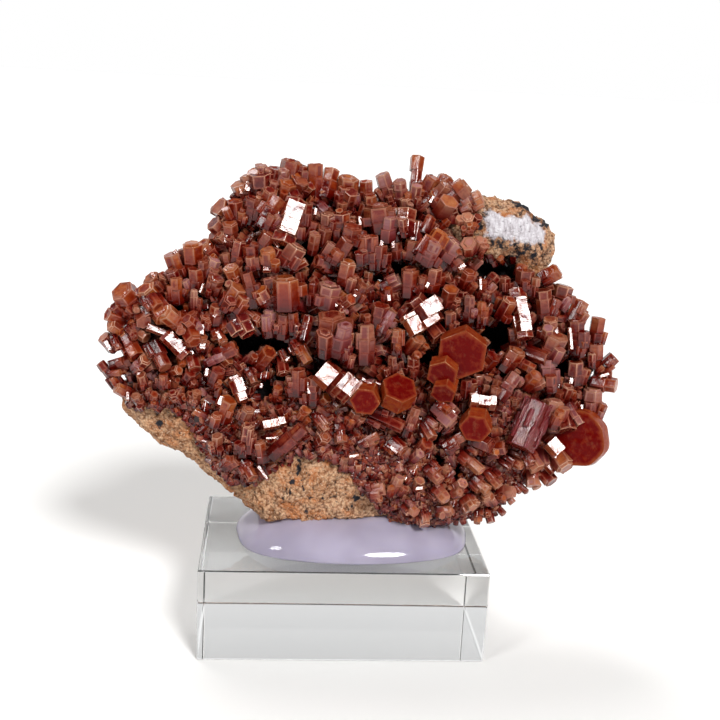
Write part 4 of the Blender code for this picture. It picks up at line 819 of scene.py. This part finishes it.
looks = {    # hue from deep red to orange, dust and painted sheen, shade
    "b": ((0.1, 0.85), (0.0, 0.3), (0.75, 1.2)),      # brown
    "o": ((0.75, 1.0), (0.0, 0.15), (0.9, 1.15)),     # orange
    "r": ((0.0, 0.2), (0.0, 0.1), (0.8, 1.0)),        # deep red
    "g": ((0.0, 0.05), (0.0, 0.0), (0.95, 1.1)),      # glassy plate
    "d": ((0.0, 0.05), (0.0, 0.0), (0.95, 1.1)),      # glassy disc
    "p": ((0.3, 0.6), (0.4, 0.65), (1.0, 1.2)),       # pinkish, some dust and painted sheen
    "l": ((0.3, 0.5), (0.6, 0.9), (1.0, 1.25)),       # lilac, dust and a painted sheen
    "k": ((0.0, 0.1), (0.0, 0.15), (1.0, 1.3)),       # bundle of thin prisms
    "t": ((0.8, 1.0), (0.45, 0.65), (1.05, 1.3)),     # tan
    "w": ((0.2, 0.6), (0.0, 0.1), (0.9, 1.1)),        # white glint
}

crystalForm = {
    "edge": 0.055,         # mm, the worn edges
    "rim": 0.22,           # mm, the frosted band inside each edge
    "growth": 1.1,         # over the widths read across the prism faces
    "shorter": 0.86, "raised": 0.07,    # shares of the listed length, with the free end kept
}


def addPrism(shape, radius, low, high, taper, shift=(0.0, 0.0), turn=0.0):
    place = Matrix.Translation((*shift, 0.5 * (low + high))) @ Matrix.Rotation(turn, 4, 'Z')
    bmesh.ops.create_cone(shape, cap_ends=True, segments=6, radius1=radius, radius2=radius * taper,
                          depth=high - low, matrix=place)


# Hue, edge, dust and painted sheen, and shade on the corners, the shade partly painted shade, and mm along
# and across each face as a UV map
def paintCrystal(shape, edgeFaces, rimFaces, look, chance, depthShade=1.0):
    tone = shape.loops.layers.float_color.new("tone")
    grain = shape.loops.layers.uv.new("grain")
    hue, dustAndSheen, shade = [chance.uniform(*span) for span in looks[look]]
    # painted shade: crystals set deep among others are darkened
    shade *= depthShade
    glassy = look in "gd"
    drift = (chance.uniform(0.0, 90.0), chance.uniform(0.0, 90.0))
    edgeHighlight = 0.8 if glassy else 0.72 + 0.28 * math.sin(drift[0])    # how strongly the edges and rims are marked; some have hardly any painted edge highlight
    heights = [vert.co.z for vert in shape.verts]
    low, high = min(heights), max(heights)
    outer = set(edgeFaces) | set(rimFaces)
    innerVerts = {vert for face in shape.faces if face not in outer for vert in face.verts}
    edgeFaces = set(edgeFaces)
    shape.normal_update()
    for face in shape.faces:
        normal = face.normal
        cap = abs(normal.z) > 0.7
        side = Vector((-normal.y, normal.x, 0.0))
        faceHue, faceDustAndSheen, faceShade = hue, dustAndSheen, shade
        if face not in outer and not glassy:
            faceHue = hue + chance.gauss(0.0, 0.2)
            faceDustAndSheen = dustAndSheen + chance.gauss(0.0, 0.12)
            faceShade = shade * chance.uniform(0.5, 1.25)
        for loop in face.loops:
            place = loop.vert.co
            edge = 1.0 if face in edgeFaces else 0.0 if loop.vert in innerVerts else 0.62
            # painted glow: the rims and sides of the glassy plates turn towards orange, as with light through
            # their thin edges
            paintedRimGlow = 0.55 if glassy and (edge > 0.0 or not cap) else 0.0
            # painted shade: each crystal darkens towards its foot in the crust, where the crystals shade one
            # another
            root = 1.0    # darker towards the crust
            if look not in "gdwk":
                root = 0.07 + 0.93 * min(1.0, (place.z - low) / (0.85 * (high - low)))
            loop[tone] = (clamp(faceHue + paintedRimGlow), edge * edgeHighlight, clamp(faceDustAndSheen), faceShade * root)
            if cap:
                loop[grain].uv = (place.x * 2.0 + drift[0], place.y * 0.4 + drift[1])
            else:
                loop[grain].uv = (place.dot(side) + drift[0], place.z + drift[1])


def besides(away, angle):
    return away * math.cos(angle), away * math.sin(angle)


def stackBundle(shape, radius, low, high, chance):    # thin parallel prisms
    length = high - low
    addPrism(shape, radius * 0.84, low, high - 0.3, 0.97, turn=0.2)
    for number in range(40):
        angle, away = chance.uniform(0.0, 6.283), radius * 0.82 * math.sqrt(chance.uniform(0.6, 1.0))
        start = low + chance.uniform(0.0, 0.75) * length
        addPrism(shape, chance.uniform(0.2, 0.42), start,
                 min(start + length * chance.uniform(0.2, 0.5), high),
                 chance.uniform(0.8, 1.0), besides(away, angle), chance.uniform(-0.15, 0.15))


# A wide mirror face along x, with blocks turned away from it at the ends of long ones
def stackMirror(shape, radius, low, high, chance, plain):
    length = high - low
    bright = length if plain or length < 3.5 else length * 0.7
    start = low + (length - bright) * chance.uniform(0.3, 0.7)
    steps = max(1, round(bright / chance.uniform(0.9, 1.6)))
    inner = sorted(start + bright * chance.uniform(0.1, 0.9) for _ in range(steps - 1))
    for first, second in zip([start] + inner, inner + [start + bright]):
        addPrism(shape, radius * chance.uniform(0.84, 1.04), first, second, chance.uniform(0.96, 1.02),
                 (0.0, chance.gauss(0.0, 0.1) * radius))
    for vert in shape.verts:
        if abs(vert.co.y) > 0.8 * radius:
            vert.co.y *= 0.68
    if bright < length:
        addPrism(shape, radius * 0.8, low, start + 0.1, 0.97, (-0.1, 0.0), 0.52)
        addPrism(shape, radius * 0.84, start + bright - 0.1, high, 0.98, (-0.1, 0.0), 0.5)


def stackPlate(shape, radius, low, high, chance, disc):
    length = high - low
    addPrism(shape, radius * 0.96, low, high - 0.35 * length, chance.uniform(0.95, 0.99))
    addPrism(shape, radius, high - 0.5 * length, high, chance.uniform(0.95, 0.99), turn=0.03)
    if disc:    # its corners rounded
        upright = [edge for edge in shape.edges
                   if abs(edge.verts[0].co.z - edge.verts[1].co.z) > 0.2 * length]
        bevelEdges(shape, upright, 0.42 * radius, 7)
        for vert in shape.verts:
            angle = math.atan2(vert.co.y, vert.co.x)
            lobes = 1.0 + 0.03 * math.sin(3.0 * angle + 1.0) + 0.02 * math.sin(8.0 * angle + 2.0)
            vert.co.x *= lobes
            vert.co.y *= lobes


def stackPrisms(shape, radius, low, high, chance, satellites):
    length = high - low
    count = max(1, min(5, round(length / (1.15 * radius) * chance.uniform(0.6, 1.2))))
    cuts = [low + length * (step + chance.uniform(-0.25, 0.25)) / count for step in range(1, count)]
    for start, end in zip([low] + cuts, cuts + [high]):
        wide = radius * chance.uniform(0.84, 1.06)
        addPrism(shape, wide, start - 0.03, end + 0.03, chance.uniform(0.9, 1.08),
                 (chance.gauss(0.0, 0.06) * radius, chance.gauss(0.0, 0.06) * radius),
                 chance.gauss(0.0, 0.07))
    if chance.random() < 0.6:    # a worn end, narrower than the prism
        wide *= chance.uniform(0.7, 0.88)
        addPrism(shape, wide, high, high + chance.uniform(0.08, 0.22) * radius, chance.uniform(0.8, 0.95))
    for number in range(chance.choice(satellites)):
        angle = chance.uniform(0.0, 6.283)
        part = radius * chance.uniform(0.35, 0.75)
        start = low + length * chance.uniform(0.0, 0.45)
        addPrism(shape, part, start, min(start + length * chance.uniform(0.3, 0.6), high + 0.1),
                 chance.uniform(0.94, 1.02), besides(radius * 0.75 + part * 0.2, angle),
                 chance.gauss(0.0, 0.1))


# One crystal in mm, along z with its free end up: stacked prisms with worn edges
def growCrystal(radius, length, look, chance, plain=False, depthShade=1.0, satellites=(0, 1, 1, 2, 3)):
    shape = bmesh.new()
    low, high = -0.5 * length, 0.5 * length
    if look == "k":
        stackBundle(shape, radius, low, high, chance)
    elif look == "w":
        stackMirror(shape, radius, low, high, chance, plain)
    elif look in "gd":
        stackPlate(shape, radius, low, high, chance, look == "d")
    else:
        stackPrisms(shape, radius, low, high, chance, satellites)
    if look not in "wgd":    # uneven growth flattens the prisms
        bmesh.ops.scale(shape, vec=(chance.uniform(0.78, 1.08), chance.uniform(0.8, 1.1), 1.0),
                        verts=shape.verts)
    worn = crystalForm["edge"] * min(1.2, 0.6 + 0.35 * radius) * (0.4 if look == "w" else 1.0)
    sharp = [edge for edge in shape.edges if look != "d" or edge.calc_face_angle(0.0) > 0.6]
    edgeFaces = bevelEdges(shape, sharp, worn)["faces"]
    known = set(edgeFaces)
    broad = [face for face in shape.faces if face not in known and face.calc_area() > 0.05]
    if look in "gd":
        band = (0.17 if look == "g" else 0.11) * radius
    else:
        band = min(crystalForm["rim"] * chance.uniform(0.6, 1.3), 0.26 * radius)
    caps = [face for face in broad if abs(face.normal.z) > 0.7]
    sides = [face for face in broad if abs(face.normal.z) <= 0.7 and look != "d"]
    rimFaces = []
    for faces, thickness in ((caps, band), (sides, min(band, 0.24))):
        if faces:
            rims = bmesh.ops.inset_individual(shape, faces=faces, thickness=thickness,
                                              depth=0.0 if look in "wgd" else -0.02, use_even_offset=True)
            rimFaces += rims["faces"]
    if look not in "wkgd" and chance.random() < 0.25:    # caps grown hollow
        hollows = [face for face in caps if face.normal.z > 0.8 and face.calc_area() > 0.5]
        if hollows:
            bmesh.ops.inset_individual(shape, faces=hollows, thickness=0.15 * radius, depth=-0.1 * radius,
                                       use_even_offset=True)
    for face in shape.faces:
        face.material_index = 1 if look in "gd" else 0
    paintCrystal(shape, edgeFaces, rimFaces, look, chance, depthShade)
    return shape


def crystalPose(row):
    right, up, radius, length, heading, tip, lift, look = row
    tip = math.radians(tip)
    axis = alongFace(math.radians(heading)) * math.cos(tip)
    axis += faceOut * math.sin(tip)
    out = frontRise(right, up) + 0.9 + lift + 0.5 * length * math.sin(tip)
    return onFace(right, up, out), axis.normalized()


def squareTo(way, axis):    # the part of the axis that is square to a way
    return axis - way * axis.dot(way)


# Place and turn of a crystal: a bright one shows the key light in one face, half of the others show
# the softer side light where they can, and the rest show neither
def turnedPlace(middle, axis, bright, chance, astray=0.02):
    glint = mirrorNormal(middle)
    if bright:
        glint = (glint + scatter(chance, astray)).normalized()
    elif chance.random() < 0.5 and abs(axis.dot(mirrorNormal(middle, sideWay))) < 0.5:
        bright = True
        glint = (mirrorNormal(middle, sideWay) + scatter(chance, 0.03)).normalized()
    if bright:
        axis = squareTo(glint, axis).normalized()
    elif axis.angle(glint) < math.radians(20.0):    # its end face would be a mirror too
        away = (squareTo(glint, axis) + faceRight * 0.001).normalized()
        axis = (glint * math.cos(math.radians(22.0)) + away * math.sin(math.radians(22.0))).normalized()
    base = axis.to_track_quat('Z', 'Y').to_matrix()
    local = base.transposed() @ glint
    spin = math.atan2(local.y, local.x)
    if not bright:    # farthest from the mirror angle, with some freedom
        spin = spin + math.radians(30.0) + chance.uniform(-0.3, 0.3)
    return Matrix.Translation(middle) @ base.to_4x4() @ Matrix.Rotation(spin, 4, 'Z') @ Matrix.Scale(mm, 4)


clusters = {name: bmesh.new() for name in groups}


def clusterAt(right, up):
    nearest = min(groups, key=lambda name: (groups[name][0] - right) ** 2 + (groups[name][1] - up) ** 2)
    return clusters[nearest]


def plant(cluster, shape, place):
    shape.transform(place)
    grown = meshFrom(shape, "grown")
    cluster.from_mesh(grown)
    bpy.data.meshes.remove(grown)


def growListed(chance):
    spots = []
    for row in crystals:
        right, up, radius, length = row[:4]
        bright = row[7] == "w"
        middle, axis = crystalPose(row)
        shown = length if bright else length * crystalForm["shorter"]
        if not bright:
            middle = middle + axis * (crystalForm["raised"] * length * mm)
        shape = growCrystal(radius * crystalForm["growth"], shown, row[7], chance)
        plant(clusterAt(right, up), shape, turnedPlace(middle, axis, bright, chance))
        spots.append((right, up, radius))
        if row[7] in "gw":
            continue
        # a bunch around its foot
        for number in range(chance.choice((2, 2, 3, 3)) + (2 if up > 42.0 else 0)):
            way = scatter(chance, 1.0)
            away = squareTo(axis, way).normalized() * (radius * chance.uniform(0.9, 1.35))
            beside = middle + (away - axis * (length * chance.uniform(0.05, 0.4))) * mm
            tilted = (axis + way.normalized() * chance.uniform(0.0, 0.45)).normalized()
            part = max(0.4, radius * chance.uniform(0.45, 0.8))
            # painted shade: the bunch around the foot is a little darker
            shape = growCrystal(part, part * chance.uniform(1.8, 3.4), chance.choice("bbbboprl"), chance,
                                depthShade=0.9, satellites=(0, 1))
            plant(clusterAt(right, up), shape, turnedPlace(beside, tilted, False, chance))
    return spots


def growSingles(chance):
    spots = []
    for name, rows in singleCrystals.items():
        own = bmesh.new()
        for row in rows:
            middle, axis = crystalPose(row)
            shape = growCrystal(row[2] * crystalForm["growth"], row[3], row[7], chance, satellites=(0,))
            plant(own, shape, turnedPlace(middle, axis, row[7] == "w", chance))
            spots.append((row[0], row[1], row[2] * 1.1))
        addPiece("vanadinite_" + name, own, ridged if name == "rough_purple" else vanadinite,
                 ["crystal_" + name])
    return spots


def growMirrorFaces(chance):
    spots = []
    for right, up, width, length, heading in mirrorFaces:
        glint = mirrorNormal(onFace(right, up, 3.0))
        radius = max(width * 0.6, 0.32) * (0.75 if up < 16.0 else 1.0)
        middle = onFace(right, up, frontRise(right, up) + 3.0) - glint * (radius * 0.86 * mm)
        shape = growCrystal(radius, length, "w", chance, plain=True)
        axis = alongFace(math.radians(heading))
        plant(clusterAt(right, up), shape, turnedPlace(middle, axis, True, chance, 0.035))
        spots.append((right, up, radius * 0.8))
    return spots


fillForm = {
    "tries": 30000,
    "cell": 3.0,        # mm, of the grid that finds neighbours
    # for the larger, then the smaller crystals: share of the tries, closeness, size, sink in mm
    "stages": ((0.4, 0.72, 1.0, 0.2), (0.6, 0.70, 0.66, -0.1)),
}


# Smaller crystals in the room that the listed ones leave, the larger first
def growFill(sites, spots):
    chance = random.Random(23)
    taken = {}

    def cellOf(right, up):
        return int(right // fillForm["cell"]), int(up // fillForm["cell"])

    def take(right, up, radius):
        taken.setdefault(cellOf(right, up), []).append((right, up, radius))

    def crowded(right, up, radius, closeness):
        column, row = cellOf(right, up)
        near = (spot for i in (-1, 0, 1) for j in (-1, 0, 1)
                for spot in taken.get((column + i, row + j), ()))
        return any(math.hypot(x - right, y - up) < (radius + other) * closeness for x, y, other in near)

    for spot in spots:
        take(*spot)
    for right, up, radius in shadedGaps:
        take(right, up, radius * 1.3)
    planted = 0
    for stage, (tries, closeness, scale, sink) in enumerate(fillForm["stages"]):
        for attempt in range(int(fillForm["tries"] * tries)):
            surface, normal, place, bare = chance.choice(sites)
            right, up, out = place
            if bare > 0.45 or out < -4.0:
                continue
            high = clamp((up - 11.0) / 14.0)
            radius = (0.46 + 0.36 * high) * scale * chance.uniform(0.75, 1.25)
            if crowded(right, up, radius, closeness * (0.72 + 0.28 * high)):
                continue
            take(right, up, radius)
            across = alongFace(math.radians(chance.gauss(90.0, 50.0)))
            share = chance.uniform(0.05, 0.5) if up > 16.0 else chance.uniform(0.0, 0.4)
            axis = (normal * share + across * (1.0 - share)).normalized()
            length = radius * chance.uniform(1.5, 2.9)
            middle = surface + normal * ((0.25 * length + sink) * mm)
            look = chance.choice("bbbbbprot" if stage else "bbbbbopprlt")
            if up < 13.0 and right > 4.0:
                look = chance.choice("btttttp")
            # painted shade: the smaller crystals high on the face are darkened, as they sit in the shade of
            # the larger ones
            shape = growCrystal(radius, length, look, chance, depthShade=0.36 if stage and up > 18.0 else 0.95,
                                satellites=(0, 0, 1) if stage else (0, 1, 1, 2))
            plant(clusterAt(right, up), shape, turnedPlace(middle, axis, False, chance))
            planted += 1
    print("fill crystals", planted)


druseForm = {"count": 7800, "kinds": 5, "edge": 0.13}    # the worn edge as a share of the radius


# Thousands of fine prisms over the crust, copied from a few worn ones
def growDruse(sites):
    chance = random.Random(37)
    kinds = []
    for number in range(druseForm["kinds"]):
        shape = bmesh.new()
        addPrism(shape, 1.0, -1.2, 1.2, 0.97)
        made = bevelEdges(shape, shape.edges[:], druseForm["edge"])
        paintCrystal(shape, made["faces"], [], "b", chance)
        mesh = meshFrom(shape, "druse kind")
        tones = np.zeros(len(mesh.loops) * 4, np.float32)
        mesh.attributes["tone"].data.foreach_get("color", tones)
        kinds.append((mesh, tones.reshape(-1, 4)))
    for number in range(druseForm["count"]):
        surface, normal, place, bare = chance.choice(sites)
        size = chance.uniform(0.17, 0.36) * (1.5 if place.y < 18.0 else 1.0)
        if bare > 0.4:
            size *= 0.7
        way = scatter(chance, 1.0)
        axis = (way - normal * way.dot(normal) * 0.75).normalized()
        kind, tones = chance.choice(kinds)
        prism = kind.copy()
        own = tones.copy()
        tan = 1.0 if place.y < 12.0 and place.x > 6.0 and chance.random() < 0.8 else 0.0
        own[:, 0] += chance.uniform(-0.3, 0.2) + 0.5 * tan
        own[:, 2] += chance.uniform(-0.2, 0.3) + 0.35 * tan
        # painted shade: druse high on the face, under the larger crystals, is nearly black; tan druse low on
        # the right is lighter
        own[:, 3] *= chance.uniform(0.35, 1.05) * (0.1 if place.y > 19.0 else 0.85 + 0.5 * tan)
        prism.attributes["tone"].data.foreach_set("color", np.clip(own, 0.0, 2.0).ravel())
        prism.transform(Matrix.Translation(surface + normal * (0.5 * size * mm))
                        @ axis.to_track_quat('Z', 'Y').to_matrix().to_4x4()
                        @ Matrix.Rotation(chance.uniform(0.0, 1.05), 4, 'Z')
                        @ Matrix.Diagonal((size * mm, size * mm, size * mm * chance.uniform(0.8, 1.6), 1.0)))
        clusterAt(place.x, place.y).from_mesh(prism)
        bpy.data.meshes.remove(prism)
    for kind, tones in kinds:
        bpy.data.meshes.remove(kind)


# A few small crystals in patches over the back, as on broken rock of this kind
def growBack(behind):
    chance = random.Random(53)
    shape = bmesh.new()
    taken = []
    for attempt in range(900):
        surface, normal, place, bare = chance.choice(behind)
        radius = chance.uniform(0.22, 0.6)
        if any((place - other).length < (radius + size) * 0.75 for other, size in taken):
            continue
        taken.append((place, radius))
        axis = (normal + scatter(chance, 0.5)).normalized()
        length = radius * chance.uniform(1.2, 2.4)
        grown = growCrystal(radius, length, chance.choice("bbtpor"), chance, satellites=(0, 0, 1))
        plant(shape, grown, turnedPlace(surface + normal * (0.15 * length * mm), axis, False, chance))
    print("crystals behind", len(taken))
    addPiece("vanadinite_back_sprinkle", shape, vanadinite, [])


setCamera()
for lamp in ("key", "side", "back"):
    addSun(lamp + " light", *studio[lamp])
setRoom()
layFloor()
print("studio set")
# Growth bands in each mm, across the prisms and along them
across, along = (0.35, 2.6, 1.0), (3.4, 0.5, 1.0)
# the last colour of each is the painted highlight on the edges
vanadinite = [makeVanadinite("vanadinite resinous prisms", 0.42, 1.0, "#986650", "#bd8c72", across, 0.06),
              makeVanadinite("vanadinite glassy plates", 0.06, 0.6, "#7e3c20", "#b8845e", across, 0.04)]
ridged = [makeVanadinite("vanadinite ridged prism", 0.8, 1.0, "#6c1f2a", "#8c4448", along, 0.7)]
buildBlock(makeAcrylic())
buildGlue(makeGlue())
print("block and glue built")
sites, behind = buildRock(makeRock())
listedChance = random.Random(11)
spots = growListed(listedChance) + growSingles(listedChance) + growMirrorFaces(listedChance)
print("listed crystals grown")
growFill(sites, spots)
growDruse(sites)
growBack(behind)
for name, shape in clusters.items():
    addPiece("vanadinite_" + name, shape, vanadinite, ["crystals_" + name])
counts = {}
for piece in bpy.data.objects:
    if piece.type == 'MESH' and piece.name in bpy.context.scene.collection.objects:
        counts[piece.name] = sum(len(face.vertices) - 2 for face in piece.data.polygons)
largest = max(counts, key=counts.get)
print("crystal groups built,", sum(counts.values()), "triangles in all, most in", largest, counts[largest])
